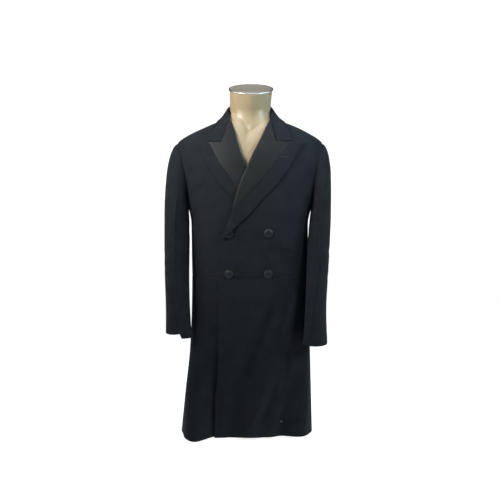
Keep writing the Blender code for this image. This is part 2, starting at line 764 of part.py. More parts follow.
def fall_surface(u, v):
    """The collar's fall: u from one gorge round the back to the other, v from fold to edge."""
    side = 1 if u >= 0.5 else -1
    way = abs(2 * u - 1)
    fold_a = math.radians(read(COLLAR, "fold_angle", way, "way"))
    edge_a = math.radians(read(COLLAR, "edge_angle", way, "way"))
    fold_z = read(COLLAR, "fold_z", way, "way")
    edge_z = read(COLLAR, "edge_z", way, "way")
    angle, z = mix(fold_a, edge_a, v), mix(fold_z, edge_z, v)
    end_angle, end_z = collar_end(v, side)
    share = smooth(0.60, 1.0, way) ** 2
    last_a = mix(math.radians(COLLAR["fold_angle"][-1]), math.radians(COLLAR["edge_angle"][-1]), v)
    last_z = mix(COLLAR["fold_z"][-1], COLLAR["edge_z"][-1], v)
    angle += (end_angle - last_a) * share
    z += (end_z - last_z) * share
    rolled = min(v / 0.16, 1.0)
    high = mix(0.0010, mix(FALL_OUT, FALL_EDGE_OUT, v), math.sqrt(1 - (1 - rolled) ** 2))
    out = mix(high, COLLAR_OUT, smooth(0.62, 0.96, way))
    out += left_front_out(angle, z) if side > 0 else 0.0
    return skin(side * angle, z, out)


def make_collar(wool):
    def fold_height(angle):
        way = np.interp(-abs(math.degrees(angle)), [-a for a in COLLAR["fold_angle"]], COLLAR["way"])
        return read(COLLAR, "fold_z", float(way), "way")

    columns, rows = 20, 3
    end = math.radians(STAND_ENDS)
    outer, inner = [], []
    for i in range(rows + 1):
        outer_row, inner_row = [], []
        for j in range(columns + 1):
            turn = mix(end, 2 * math.pi - end, j / columns)
            angle = turn if turn <= math.pi else turn - 2 * math.pi
            z = mix(NECK_Z + SEAM / 2, fold_height(angle) - LAPEL - 0.0007, i / rows)
            outer_row.append(skin(angle, z))
            inner_row.append(skin(angle, z, -CLOTH))
        outer.append(outer_row)
        inner.append(inner_row)
    wall("collar_stand", outer, inner, wool)
    rows = (0, 0.05, 0.16, 0.40, 0.65, 0.84, 1)
    grid_wall("collar_fall", fall_surface, rows, steps(28), LAPEL, wool,
              own=lambda u: 1 - smooth(0.70, 0.90, abs(2 * u - 1)))


# Sleeves

def sleeve_ring(table, side, z, turn):
    """A point round a sleeve: turn 0 at the front fold, a quarter turn away from the body."""
    row = {name: read(table, name, z) for name in table if name != "z"}
    s, c = math.sin(turn), math.cos(turn)
    share = (1 - c) / 2
    bulge = row["away"] if s > 0 else -row["inward"]
    lean = 1 + SLEEVE_LEAN * c if s < 0 else 1     # the inner side is fullest towards the front
    x = mix(row["crease"], row["hind"], share) + bulge * abs(s) ** (1 / SLEEVE_POINTED) * lean
    return Vector((side * x, mix(row["front"], row["back"], share), z))


def armhole_point(side, turn):
    """The armhole, turned the same way: 0 in front, a quarter turn at the shoulder."""
    z = ARM_Z + ARM_HIGH * math.sin(turn)
    y = armhole_y(z, -1 if math.cos(turn) > 0 else 1)
    point = skin(angle_at_y(y, z, side), z)
    return point + Vector((side * (0.0010 - 0.0004 * math.sin(turn)), 0, 0))


def sleeve_surface(table, side):
    """The sleeve: v from the cuff up to the armhole, turn round it."""
    top_z, cuff_z = table["z"][0], table["z"][-1]
    head = 0.42                                   # share of v that the sleeve head takes

    def surface(turn, v):
        if v <= 1 - head:
            return sleeve_ring(table, side, mix(cuff_z, top_z, v / (1 - head)), turn)
        t = (1 - v) / head                        # 0 at the armhole, 1 where the tube starts
        start, end = armhole_point(side, turn), sleeve_ring(table, side, top_z, turn)
        high = (1 + math.sin(turn)) / 2
        reach = (end - start).length
        out = Vector((side * SLEEVE_HEAD * high ** 0.8, 0, -0.9 * reach * (1 - high) - 0.02 * high))
        out.y += -0.05 * max(math.cos(turn), 0) + 0.035 * max(-math.cos(turn), 0)
        down = Vector((0, 0, -reach * mix(0.9, 1.0, high)))
        return (start * (1 + 2 * t) * (1 - t) ** 2 + end * t * t * (3 - 2 * t)
                + out * t * (1 - t) ** 2 - down * t * t * (1 - t))

    return surface


def make_sleeves(wool):
    made = {}
    for name, side, table in (("left", 1, LEFT_SLEEVE), ("right", -1, RIGHT_SLEEVE)):
        surface = sleeve_surface(table, side)
        gap = SEAM / 2 / 0.05                      # half the seam, as a turn
        parts = (("top_sleeve_", FORE_SEAM + gap, HIND_SEAM - gap, 14),
                 ("under_sleeve_", HIND_SEAM + gap, 2 * math.pi + FORE_SEAM - gap, 7))
        for part, first, last, columns in parts:
            def piece(u, v, first=first, last=last):
                return surface(mix(first, last, u), v)
            made[part + name] = grid_wall(part + name, piece, steps(15), steps(columns), CLOTH,
                                          wool, turned=side < 0)
    return made


# Buttons

def button_profile(radius, shank):
    """Covered button: a dome over a thin edge, on a short shank."""
    dome = 0.30 * radius
    return [(0, shank + dome + 0.0008), (0.50 * radius, shank + 0.84 * dome + 0.0008),
            (0.84 * radius, shank + 0.42 * dome + 0.0008), (radius, shank + 0.0006),
            (0.95 * radius, shank), (0.0028, shank), (0.0028, 0), (0, 0)]


def sewn_button(name, radius, look, cloth, point, away, sides):
    """A button that touches the cloth, where the cloth is seen towards a point."""
    at, away = touch(solid_tree(cloth), point, away)
    turned_piece(name, button_profile(radius, 0.16 * radius), look, sides, at + away * SEAM, away)


def make_buttons(front, backs, sleeves, look):
    for number, (x, z) in enumerate(FRONT_BUTTONS, 1):
        point = front_skin(x, z)
        sewn_button(f"front_button_{number}", FRONT_BUTTON_R, look, front, point, skin_normal(*point), 16)
    for name, side, back in (("left", 1, backs[0]), ("right", -1, backs[1])):
        x, z = BACK_BUTTON
        point = skin(angle_at_x(side * x, z, back=True), z)
        sewn_button("back_button_" + name, BACK_BUTTON_R, look, back, point, skin_normal(*point), 14)
    for name, side, table in (("left", 1, LEFT_SLEEVE), ("right", -1, RIGHT_SLEEVE)):
        for number, up in enumerate(CUFF_BUTTONS_UP, 1):
            z = table["z"][-1] + up
            here = sleeve_ring(table, side, z, CUFF_BUTTON_TURN)
            across = sleeve_ring(table, side, z, CUFF_BUTTON_TURN + 0.02) - here
            rise = sleeve_ring(table, side, z + 0.001, CUFF_BUTTON_TURN) - here
            away = across.cross(rise).normalized() * side
            sewn_button(f"cuff_button_{name}_{number}", CUFF_BUTTON_R, look,
                        sleeves["top_sleeve_" + name], here, away, 10)


# Dress form

def neck_ring(height, turn):
    """A point round the form's neck: height 0 at the neckline, 1 at the tilted top."""
    base = Vector((0, 0.006, 0.985))
    middle = base.lerp(NECK_TOP, height)
    wide = NECK_HALF_WIDTH + NECK_FLARE * height ** 2
    lean = NECK_LEAN * height
    s, c = math.sin(turn), math.cos(turn)
    prow = 1 + 0.05 * max(c, 0) ** 3               # a soft edge down the throat
    flat = Vector((wide * s, -0.056 * c * prow, 0))
    return middle + Matrix.Rotation(lean, 3, "X") @ flat


def make_form(shell, steel):
    rings, turns = [], 30
    gaps = {"z": (0.300, 0.420, 0.600, 0.760, 0.870, 0.8975, 0.950, 0.968, 0.985),
            "gap": (0.026, 0.020, 0.012, 0.009, 0.0060, 0.0040, 0.0018, 0.0018, 0.0020)}
    heights = [0.300, 0.360, 0.425, 0.493, 0.560, 0.630, 0.690, 0.745, 0.800, 0.845, 0.876]
    heights += SHOULDER_HEIGHTS + [0.976, 0.985]
    bottom = [skin(t, 0.300, -0.026, ()) for t in turning(turns)]
    for share, drop in ((0.45, 0.006), (0.92, 0.004)):
        rings.append([Vector((p.x * share, p.y * share, FORM_BOTTOM_Z - drop)) for p in bottom])
    for z in heights:
        rings.append([skin(t, z, -CLOTH - read(gaps, "gap", z), ()) for t in turning(turns)])
    for height in (0.18, 0.38, 0.60, 0.80, 1.0):
        rings.append([neck_ring(height, t) for t in turning(turns)])
    points = [p for ring in rings for p in ring]
    faces = []
    for i in range(len(rings) - 1):
        for j in range(turns):
            k = (j + 1) % turns
            faces.append((i * turns + j, i * turns + k, (i + 1) * turns + k, (i + 1) * turns + j))
    faces.append(tuple(reversed(range(turns))))
    faces.append(tuple(range((len(rings) - 1) * turns, len(rings) * turns)))
    from_points("form_torso", points, faces, shell)
    make_cap(steel)
    make_stand(steel)


def turning(count):
    """Angles all the way round, from the centre front to the left and on."""
    turns = [2 * math.pi * i / count for i in range(count)]
    return [t if t <= math.pi else t - 2 * math.pi for t in turns]


def make_cap(steel):
    """Flat metal plate on the tilted top of the neck."""
    tilt = Matrix.Rotation(NECK_LEAN, 3, "X")
    up = tilt @ Vector((0, 0, 1))
    centre = sum((neck_ring(1, t) for t in turning(32)), Vector()) / 32
    rings = []
    for lift, grow in ((SEAM, 0.0), (SEAM + 0.001, CAP_RIM), (CAP_THICK - 0.001, CAP_RIM), (CAP_THICK, 0.0)):
        ring = []
        for t in turning(32):
            spoke = neck_ring(1, t) - centre
            ring.append(centre + spoke * (1 + grow / spoke.length) + up * lift)
        rings.append(ring)
    points = [p for ring in rings for p in ring]
    faces = [(i * 32 + j, i * 32 + (j + 1) % 32, (i + 1) * 32 + (j + 1) % 32, (i + 1) * 32 + j)
             for i in range(3) for j in range(32)]
    faces += [tuple(reversed(range(32))), tuple(range(96, 128))]
    from_points("neck_cap", points, faces, steel)


def make_stand(steel):
    """A pole from the foot to the form's underside."""
    bottom = FOOT_THICK + SEAM
    tall = FORM_BOTTOM_Z - 0.006 - SEAM - bottom
    profile = [(0, tall), (POLE_R, tall), (POLE_R, 0), (0, 0)]
    turned_piece("form_pole", profile, steel, 20, Vector((0, 0, bottom)), Vector((0, 0, 1)))
    edge = 0.0010
    foot = [(0, FOOT_THICK), (FOOT_R - edge, FOOT_THICK), (FOOT_R, FOOT_THICK - edge), (FOOT_R, 0), (0, 0)]
    turned_piece("form_foot", foot, steel, 48, Vector((0, 0, 0)), Vector((0, 0, 1)))


def main():
    for thing in list(bpy.data.objects):
        bpy.data.objects.remove(thing, do_unlink=True)
    collection(COAT)
    wool = material("black_wool", (0.012, 0.013, 0.016), 0.85)
    silk = material("black_silk", (0.018, 0.019, 0.021), 0.42)
    buttons = material("button_cloth", (0.022, 0.024, 0.027), 0.55)
    shell = material("form_shell", (0.78, 0.72, 0.60), 0.28)
    steel = material("form_steel", (0.55, 0.53, 0.50), 0.30, 1.0)
    fronts = make_fronts(wool)
    make_sides(wool)
    backs = make_backs(wool)
    make_skirts(wool)
    make_lapels(fronts, wool, silk)
    make_collar(wool)
    sleeves = make_sleeves(wool)
    make_buttons(fronts[0], backs, sleeves, buttons)
    make_form(shell, steel)


main()
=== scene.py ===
import math

import bpy
import numpy as np
from mathutils import Matrix, Vector


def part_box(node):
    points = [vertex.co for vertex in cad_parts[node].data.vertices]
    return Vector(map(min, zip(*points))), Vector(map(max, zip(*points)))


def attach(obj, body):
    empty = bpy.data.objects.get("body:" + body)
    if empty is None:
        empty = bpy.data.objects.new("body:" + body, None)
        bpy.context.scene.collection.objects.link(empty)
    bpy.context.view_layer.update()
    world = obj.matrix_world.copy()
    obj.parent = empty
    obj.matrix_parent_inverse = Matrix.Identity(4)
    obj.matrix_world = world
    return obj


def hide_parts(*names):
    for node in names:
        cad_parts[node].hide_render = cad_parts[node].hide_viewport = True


# Frock coat on a limbless dress form. The coat's front faces -Y and the wearer's left is +X.
# Each cloth piece is a fine shell on the form of its solid, laid out on one body surface:
# a place there has an angle round the body, a height z, and "out", how far it lies outside.

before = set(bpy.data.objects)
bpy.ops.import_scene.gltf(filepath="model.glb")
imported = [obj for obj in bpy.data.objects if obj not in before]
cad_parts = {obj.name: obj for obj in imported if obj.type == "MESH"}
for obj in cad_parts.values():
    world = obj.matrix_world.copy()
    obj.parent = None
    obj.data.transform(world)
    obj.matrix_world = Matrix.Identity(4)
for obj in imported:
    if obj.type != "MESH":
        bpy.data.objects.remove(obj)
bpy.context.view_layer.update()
bpy.context.scene.view_settings.view_transform = "Standard"

cloth = {
    "thick": 0.0020,            # wool with its canvas
    "lapelThick": 0.0025,
    "silkThick": 0.0009,
    "gap": 0.0003,              # between two pieces at a seam
    "layer": 0.0029,            # how far one front lies outside the other
    "overLapel": 0.0087,        # and where the under lapel lies between them
    "mesh": 0.0040,             # distance between the points of a panel
    "seamDip": 0.0008,          # how far a panel turns in at a sewn edge
    "seamSoft": 0.0018,         # and how softly
}

levels = {"hem": 0.010, "waist": 0.493, "break": 0.608, "neck": 0.968, "vent": 0.440,
          "sideTop": 0.722, "backSeamTop": 0.800}
arm = {"y": 0.004, "z": 0.800, "high": 0.0975, "front": 0.058, "back": 0.064}
levels["shoulder"] = arm["z"] + arm["high"]

# Outline of the coat's body: half widths to the wearer's right and left, depths, squareness
body = {
    "z":      (0.010, 0.130, 0.275, 0.413, 0.493, 0.560, 0.650, 0.705, 0.755, 0.825, 0.880, 0.898,
               0.909, 0.929, 0.950, 0.960, 0.968, 0.975, 0.985, 1.000, 1.030),
    "right":  (0.213, 0.201, 0.185, 0.180, 0.179, 0.180, 0.181, 0.190, 0.201, 0.2195, 0.2236, 0.2218,
               0.2110, 0.177, 0.131, 0.108, 0.089, 0.078, 0.071, 0.066, 0.063),
    "left":   (0.193, 0.190, 0.186, 0.181, 0.180, 0.179, 0.179, 0.190, 0.202, 0.2195, 0.2236, 0.2218,
               0.2120, 0.180, 0.138, 0.112, 0.090, 0.078, 0.071, 0.066, 0.063),
    "front":  (0.124, 0.122, 0.120, 0.118, 0.116, 0.119, 0.125, 0.127, 0.126, 0.117, 0.101, 0.094,
               0.090, 0.081, 0.071, 0.066, 0.062, 0.059, 0.056, 0.054, 0.053),
    "back":   (0.150, 0.145, 0.138, 0.128, 0.114, 0.112, 0.120, 0.127, 0.131, 0.130, 0.122, 0.116,
               0.111, 0.101, 0.090, 0.084, 0.079, 0.075, 0.071, 0.069, 0.069),
    "square": (3.00, 2.90, 2.70, 2.50, 2.40, 2.35, 2.30, 2.30, 2.25, 2.25, 2.20, 2.20,
               2.20, 2.15, 2.10, 2.10, 2.05, 2.00, 2.00, 2.00, 2.00),
}

# Hanging folds of the skirt, measured along the cloth from the centre front or centre back
skirtFolds = (
    # from, at the top, at the hem, top z, out at the hem, half width
    ("front", -0.150, -0.154, 0.430, 0.058, 0.042),
    ("front", -0.112, -0.112, 0.470, -0.018, 0.026),
    ("front", 0.078, -0.062, 0.490, -0.012, 0.024),
    ("front", 0.128, 0.000, 0.480, 0.011, 0.026),
    ("front", 0.150, 0.098, 0.440, -0.022, 0.030),
    ("front", 0.200, 0.158, 0.420, 0.012, 0.026),
    ("back", -0.190, -0.205, 0.430, -0.012, 0.032),
    ("back", -0.130, -0.142, 0.460, 0.018, 0.034),
    ("back", 0.130, 0.146, 0.460, 0.016, 0.034),
    ("back", 0.190, 0.214, 0.430, -0.010, 0.030),
)
underFold = ("front", -0.086, -0.092, 0.495, -0.016, 0.028)

# Creases: soft ridges (out over 0) and troughs, from one end to the other as seen
# from the front or the back, with their bow to the side and half width
creases = (
    # side, from x, z, to x, z, out, half width, bow
    ("front", 0.0855, 0.452, -0.030, 0.148, -0.0085, 0.013, -0.002),
    ("front", 0.072, 0.452, 0.026, 0.332, 0.0036, 0.010, 0.000),
    ("front", 0.135, 0.460, 0.099, 0.283, 0.0085, 0.010, -0.0055),
    ("front", 0.154, 0.387, 0.141, 0.332, -0.0050, 0.010, 0.000),
    ("front", 0.056, 0.222, 0.004, 0.047, 0.0075, 0.011, -0.004),
    ("front", 0.084, 0.213, 0.021, 0.042, -0.0065, 0.012, -0.010),
    ("front", 0.141, 0.274, 0.069, 0.042, 0.0065, 0.012, -0.006),
    ("front", 0.123, 0.292, 0.107, 0.212, -0.0038, 0.009, 0.000),
    ("front", -0.060, 0.064, -0.054, 0.026, 0.0032, 0.008, 0.000),
    ("front", -0.140, 0.410, -0.132, 0.240, -0.0022, 0.013, 0.003),
    ("front", -0.165, 0.380, -0.176, 0.150, 0.0028, 0.014, -0.003),
    ("front", 0.060, 0.600, 0.148, 0.560, -0.0014, 0.010, 0.006),
    ("front", 0.062, 0.520, 0.150, 0.548, -0.0014, 0.011, -0.004),
    ("front", -0.070, 0.600, -0.150, 0.560, -0.0012, 0.011, -0.005),
    ("front", -0.085, 0.505, -0.150, 0.530, -0.0012, 0.010, 0.004),
    ("front", 0.170, 0.715, 0.120, 0.775, -0.0022, 0.012, 0.006),
    ("front", -0.172, 0.715, -0.125, 0.785, -0.0024, 0.012, -0.006),
    ("front", 0.185, 0.770, 0.150, 0.850, -0.0020, 0.011, 0.005),
    ("front", -0.186, 0.770, -0.155, 0.845, -0.0020, 0.011, -0.005),
    ("back", 0.150, 0.740, 0.085, 0.650, -0.0024, 0.013, 0.006),
    ("back", -0.152, 0.735, -0.080, 0.655, -0.0022, 0.013, -0.006),
    ("back", 0.120, 0.560, 0.040, 0.530, -0.0018, 0.010, 0.003),
    ("back", -0.118, 0.555, -0.045, 0.535, -0.0016, 0.010, -0.002),
    ("back", 0.050, 0.925, -0.048, 0.928, -0.0016, 0.010, 0.006),
    ("back", 0.150, 0.340, 0.168, 0.060, 0.0040, 0.014, 0.004),
    ("back", -0.140, 0.360, -0.152, 0.080, 0.0034, 0.013, -0.004),
    ("back", 0.070, 0.300, 0.062, 0.040, -0.0030, 0.014, 0.003),
    ("back", -0.064, 0.320, -0.060, 0.060, -0.0026, 0.013, -0.003),
)

leftEdge = {
    "z": (0.010, 0.123, 0.199, 0.275, 0.406, 0.493, 0.563, 0.608, 0.651, 0.704, 0.760, 0.796,
          0.826, 0.856, 0.896, 0.954, 0.968),
    "x": (-0.108, -0.105, -0.099, -0.0945, -0.094, -0.094, -0.087, -0.082, -0.068, -0.050, -0.035,
          -0.022, -0.009, 0.005, 0.025, 0.052, 0.060),
}
rightEdge = {
    "z": (0.010, 0.199, 0.406, 0.493, 0.563, 0.608, 0.651, 0.704, 0.760, 0.796, 0.826, 0.889,
          0.937, 0.968),
    "x": (0.110, 0.105, 0.098, 0.094, 0.087, 0.082, 0.066, 0.042, 0.017, 0.002, -0.012, -0.034,
          -0.047, -0.059),
}
lapelEdge = {
    "z": (0.608, 0.641, 0.665, 0.704, 0.747, 0.777, 0.813, 0.865, 0.897),
    "x": (-0.078, -0.048, -0.022, 0.015, 0.051, 0.081, 0.108, 0.140, 0.162),
}
silkEdge = {
    1: {"z": (0.701, 0.741, 0.778, 0.812, 0.850, 0.885, 0.899),
        "x": (-0.049, -0.009, 0.026, 0.055, 0.0815, 0.1055, 0.124)},
    -1: {"z": (0.701, 0.730, 0.760, 0.778, 0.797, 0.8225, 0.8525, 0.880, 0.899),
         "x": (-0.030, 0.010, 0.037, 0.047, 0.060, 0.0795, 0.099, 0.112, 0.1255)},
}
sideSeam = {"z": (0.493, 0.600, 0.722), "y": (-0.052, -0.048, -0.0308)}
backSeam = {"z": (0.493, 0.560, 0.660, 0.740, 0.800), "x": (0.045, 0.053, 0.083, 0.122, 0.176)}
pleat = {"z": (0.010, 0.300, 0.493), "x": (0.094, 0.066, 0.045), "under": 0.020, "ventUnder": 0.030}


# Reading the tables

def readTable(table, column, at, key="z"):
    # a smooth curve through the rows that keeps to their rise and fall
    xs, ys = np.array(table[key], float), np.array(table[column], float)
    if xs[0] > xs[-1]:
        xs, ys = xs[::-1], ys[::-1]
    at = np.clip(at, xs[0], xs[-1])
    i = np.clip(np.searchsorted(xs, at) - 1, 0, len(xs) - 2)
    rise = np.diff(ys) / np.diff(xs)
    both = rise[:-1] * rise[1:]
    slope = np.concatenate([[rise[0]], np.zeros(len(xs) - 2), [rise[-1]]])
    slope[1:-1] = np.where(both > 0, 2 * both / np.where(both > 0, rise[:-1] + rise[1:], 1), 0)
    h = xs[i + 1] - xs[i]
    t = (at - xs[i]) / h
    return (ys[i] * (1 + 2 * t) * (1 - t) ** 2 + ys[i + 1] * t * t * (3 - 2 * t)
            + h * (slope[i] * t * (1 - t) ** 2 - slope[i + 1] * t * t * (1 - t)))


def smooth(low, high, value):
    t = np.clip((value - low) / (high - low), 0, 1)
    return t * t * (3 - 2 * t)


def mix(a, b, t):
    return a + (b - a) * t


def alongLine(x, z, x0, z0, x1, z1):
    # how far along a line a place lies, from 0 to 1, and how far aside of it
    long = math.hypot(x1 - x0, z1 - z0)
    dx, dz = (x1 - x0) / long, (z1 - z0) / long
    return ((x - x0) * dx + (z - z0) * dz) / long, (x - x0) * dz - (z - z0) * dx


# The body surface

ring = {"angle": np.linspace(0, math.pi, 361), "z": np.linspace(0.010, 1.030, 205)}


def outlinePoint(angle, z):
    power = 2 / readTable(body, "square", z)
    s, c = np.sin(angle), np.cos(angle)
    wide = np.where(s >= 0, readTable(body, "left", z), readTable(body, "right", z))
    deep = np.where(c > 0, readTable(body, "front", z), readTable(body, "back", z))
    return (wide * np.sign(s) * np.abs(s) ** power, -deep * np.sign(c) * np.abs(c) ** power)


for side in (1, -1):
    x, y = outlinePoint(side * ring["angle"][None, :], ring["z"][:, None])
    stepLengths = np.hypot(np.diff(x, axis=1), np.diff(y, axis=1))
    ring[side] = np.concatenate([np.zeros((len(x), 1)), np.cumsum(stepLengths, axis=1)], axis=1)


def ringRow(side, z):
    # lengths along the cloth at one height, for ring["angle"]
    place = np.clip((z - ring["z"][0]) / (ring["z"][1] - ring["z"][0]), 0, len(ring["z"]) - 1.001)
    i = int(place)
    return mix(ring[side][i], ring[side][i + 1], place - i)


def alongCloth(angle, z):
    # length from the centre front, signed like the angle, at any heights
    angle, z = np.broadcast_arrays(np.asarray(angle, float), np.asarray(z, float))
    rowAt = np.clip((z - ring["z"][0]) / (ring["z"][1] - ring["z"][0]), 0, len(ring["z"]) - 1.001)
    columnAt = np.clip(np.abs(angle) / ring["angle"][1], 0, len(ring["angle"]) - 1.001)
    i, j = rowAt.astype(int), columnAt.astype(int)
    u, v = columnAt - j, rowAt - i
    made = []
    for side in (1, -1):
        grid = ring[side]
        low, high = mix(grid[i, j], grid[i, j + 1], u), mix(grid[i + 1, j], grid[i + 1, j + 1], u)
        made.append(mix(low, high, v))
    return np.where(angle >= 0, made[0], -made[1])


def halfRound(side, z):
    return ringRow(side, z)[-1]


def roundLength(angle, z):
    # runs on past the centre back for angles over half a turn
    angle = np.asarray(angle, float)
    past = halfRound(1, z) + halfRound(-1, z) + alongCloth(angle - 2 * math.pi, z)
    return np.where(angle > math.pi, past, alongCloth(angle, z))


def angleRound(length, z):
    length = np.asarray(length, float)
    left, right = ringRow(1, z), ringRow(-1, z)
    whole = left[-1] + right[-1]
    onLeft = np.interp(length, left, ring["angle"])
    onRight = -np.interp(-length, right, ring["angle"])
    past = 2 * math.pi - np.interp(whole - length, right, ring["angle"])
    return np.where(length > left[-1], past, np.where(length >= 0, onLeft, onRight))


def shiftAngle(angle, z, distance):
    return float(angleRound(roundLength(angle, z) + distance, z))


def angleAtX(x, z, back=False):
    wide = np.where(np.asarray(x) >= 0, readTable(body, "left", z), readTable(body, "right", z))
    angle = np.arcsin(np.minimum(np.abs(x) / wide, 1) ** (readTable(body, "square", z) / 2))
    return np.copysign(math.pi - angle if back else angle, x)


def angleAtY(y, z, side):
    deep = np.where(np.asarray(y) < 0, readTable(body, "front", z), readTable(body, "back", z))
    angle = np.arccos(np.minimum(np.abs(y) / deep, 1) ** (readTable(body, "square", z) / 2))
    return side * np.where(np.asarray(y) < 0, angle, math.pi - angle)


def skinNormal(x, y, z):
    step = 0.0004

    def level(x, y, z):
        wide = np.where(x >= 0, readTable(body, "left", z), readTable(body, "right", z))
        deep = np.where(y < 0, readTable(body, "front", z), readTable(body, "back", z))
        power = readTable(body, "square", z)
        return np.abs(x / wide) ** power + np.abs(y / deep) ** power

    slope = np.stack([level(x + step, y, z) - level(x - step, y, z),
                      level(x, y + step, z) - level(x, y - step, z),
                      level(x, y, z + step) - level(x, y, z - step)], -1)
    return slope / np.linalg.norm(slope, axis=-1, keepdims=True)


def foldOut(folds, angle, z):
    here = alongCloth(angle, z)
    half = np.where(angle >= 0, alongCloth(math.pi, z), -alongCloth(-math.pi, z))
    behind = here - np.copysign(half, here)
    total = np.zeros_like(here)
    for start, top, hem, topZ, out, wide in folds:
        drop = smooth(topZ, levels["hem"], z)
        middle = mix(top, hem, np.clip((topZ - z) / (topZ - levels["hem"]), 0, 1))
        away = (here if start == "front" else behind) - middle
        total += out * drop * np.exp(-((away / wide) ** 2))
    return np.where(z > levels["waist"], 0, total)


def creaseOut(x, y, z):
    total = np.zeros_like(x)
    for side, x0, z0, x1, z1, out, wide, bow in creases:
        way, aside = alongLine(x, z, x0, z0, x1, z1)
        aside = aside - bow * 4 * way * (1 - way)
        ends = smooth(-0.12, 0.30, way) * (1 - smooth(0.70, 1.12, way))
        facing = smooth(0.010, 0.040, -y if side == "front" else y)
        total += out * ends * facing * np.exp(-((aside / wide) ** 2))
    return total


def skin(angle, z, out=0.0, folds=skirtFolds, creased=True):
    # the point at an angle and height, out from the body surface
    angle, z = np.broadcast_arrays(np.asarray(angle, float), np.asarray(z, float))
    angle = np.where(angle > math.pi, angle - 2 * math.pi, angle)
    x, y = outlinePoint(angle, z)
    out = out + foldOut(folds, angle, z)
    if creased:
        out = out + creaseOut(x, y, z)
    return np.stack([x, y, z], -1) + skinNormal(x, y, z) * np.asarray(out)[..., None]


def leftFrontOut(angle, z):
    # the left front laps over the right one, and rises over the right lapel
    x = outlinePoint(angle, z)[0]
    lap = cloth["layer"] * (1 - smooth(0.115, 0.165, x)) * (1 - smooth(0.880, 0.925, z))
    edge = -readTable(lapelEdge, "x", z)
    over = smooth(edge - 0.050, edge - 0.014, x) * (1 - smooth(0.095, 0.150, x))
    over = over * smooth(0.560, 0.600, z) * (1 - smooth(0.858, 0.910, z))
    return np.where(np.abs(angle) > math.pi / 2, 0, mix(lap, cloth["overLapel"], over))


def rightBackOut(angle, z):
    return cloth["layer"] * (1 - smooth(levels["waist"], levels["waist"] + 0.030, z))


def leftBackOut(angle, z):
    x = np.abs(outlinePoint(angle, z)[0])
    vent = (1 - smooth(levels["waist"] + 0.004, levels["waist"] + 0.030, z)) * (1 - smooth(0.036, 0.054, x))
    return rightBackOut(angle, z) + cloth["layer"] * vent


# Meshes

def makeObject(name, points, faces, look, sharp=40, weave=None):
    mesh = bpy.data.meshes.new(name)
    mesh.from_pydata(np.asarray(points).tolist(), [], [tuple(face) for face in faces])
    mesh.update()
    mesh.shade_smooth()
    mesh.set_sharp_from_angle(angle=math.radians(sharp))
    if weave is not None:
        layer = mesh.uv_layers.new(name="weave")
        corner = np.empty(len(mesh.loops), np.int32)
        mesh.loops.foreach_get("vertex_index", corner)
        layer.uv.foreach_set("vector", np.asarray(weave, np.float32)[corner].ravel())
    thing = bpy.data.objects.new(name, mesh)
    bpy.context.scene.collection.objects.link(thing)
    mesh.materials.append(look)
    return thing


def shell(name, outer, inner, look, turned=False, weave=None):
    # a cloth shell between two grids of points, closed round its edges
    rows, columns = outer.shape[:2]
    count = rows * columns
    index = np.arange(count).reshape(rows, columns)
    face = np.stack([index[:-1, :-1], index[:-1, 1:], index[1:, 1:], index[1:, :-1]], -1).reshape(-1, 4)
    rim = np.concatenate([index[0, :-1], index[:-1, -1], index[-1, :0:-1], index[:0:-1, 0]])
    after = np.roll(rim, -1)
    side = np.stack([after, rim, rim + count, after + count], -1)
    faces = np.concatenate([face, face[:, ::-1] + count, side])
    if turned:
        faces = faces[:, ::-1]
    points = np.concatenate([outer.reshape(-1, 3), inner.reshape(-1, 3)])
    if weave is not None:
        weave = np.concatenate([weave.reshape(-1, 2)] * 2)
    return makeObject(name, points, faces.tolist(), look, weave=weave)


def gridNormals(points, turned=False):
    # outward normals of a grid of points
    across, up = np.gradient(points, axis=1), np.gradient(points, axis=0)
    normal = np.cross(across, up) * (-1 if turned else 1)
    return normal / np.maximum(np.linalg.norm(normal, axis=-1, keepdims=True), 1e-12)


edgeSteps = np.array([0, 0.0004, 0.0011, 0.0022, 0.0036])


def closeAtEdges(low, high, count):
    # even steps between two edges, closer together beside them
    steps = edgeSteps * min(1, (high - low) / 0.012)
    middle = np.linspace(low + steps[-1], high - steps[-1], count)
    return np.concatenate([low + steps[:-1], middle, (high - steps[:-1])[::-1]])


def edgeDip(distance, sewn):
    # how far the face turns in near an edge: a soft roll at a seam, a rounded corner at a free edge
    if sewn:
        return cloth["seamDip"] * np.exp(-distance / cloth["seamSoft"])
    return 0.30 * cloth["thick"] * np.exp(-((distance / 0.0005) ** 2))


def hemDrop(angle, z):
    # the hem hangs a little unevenly, lowest near the wearer's right
    x = outlinePoint(angle, z)[0]
    drop = 0.0018 + 0.0020 * smooth(-0.115, -0.100, x) * (1 - smooth(-0.040, 0.050, x))
    drop = drop + 0.0044 * np.exp(-(((x + 0.147) / 0.017) ** 2)) - 0.0055 * np.exp(-((x / 0.040) ** 2))
    return drop * (1 - smooth(levels["hem"], levels["hem"] + 0.12, z))


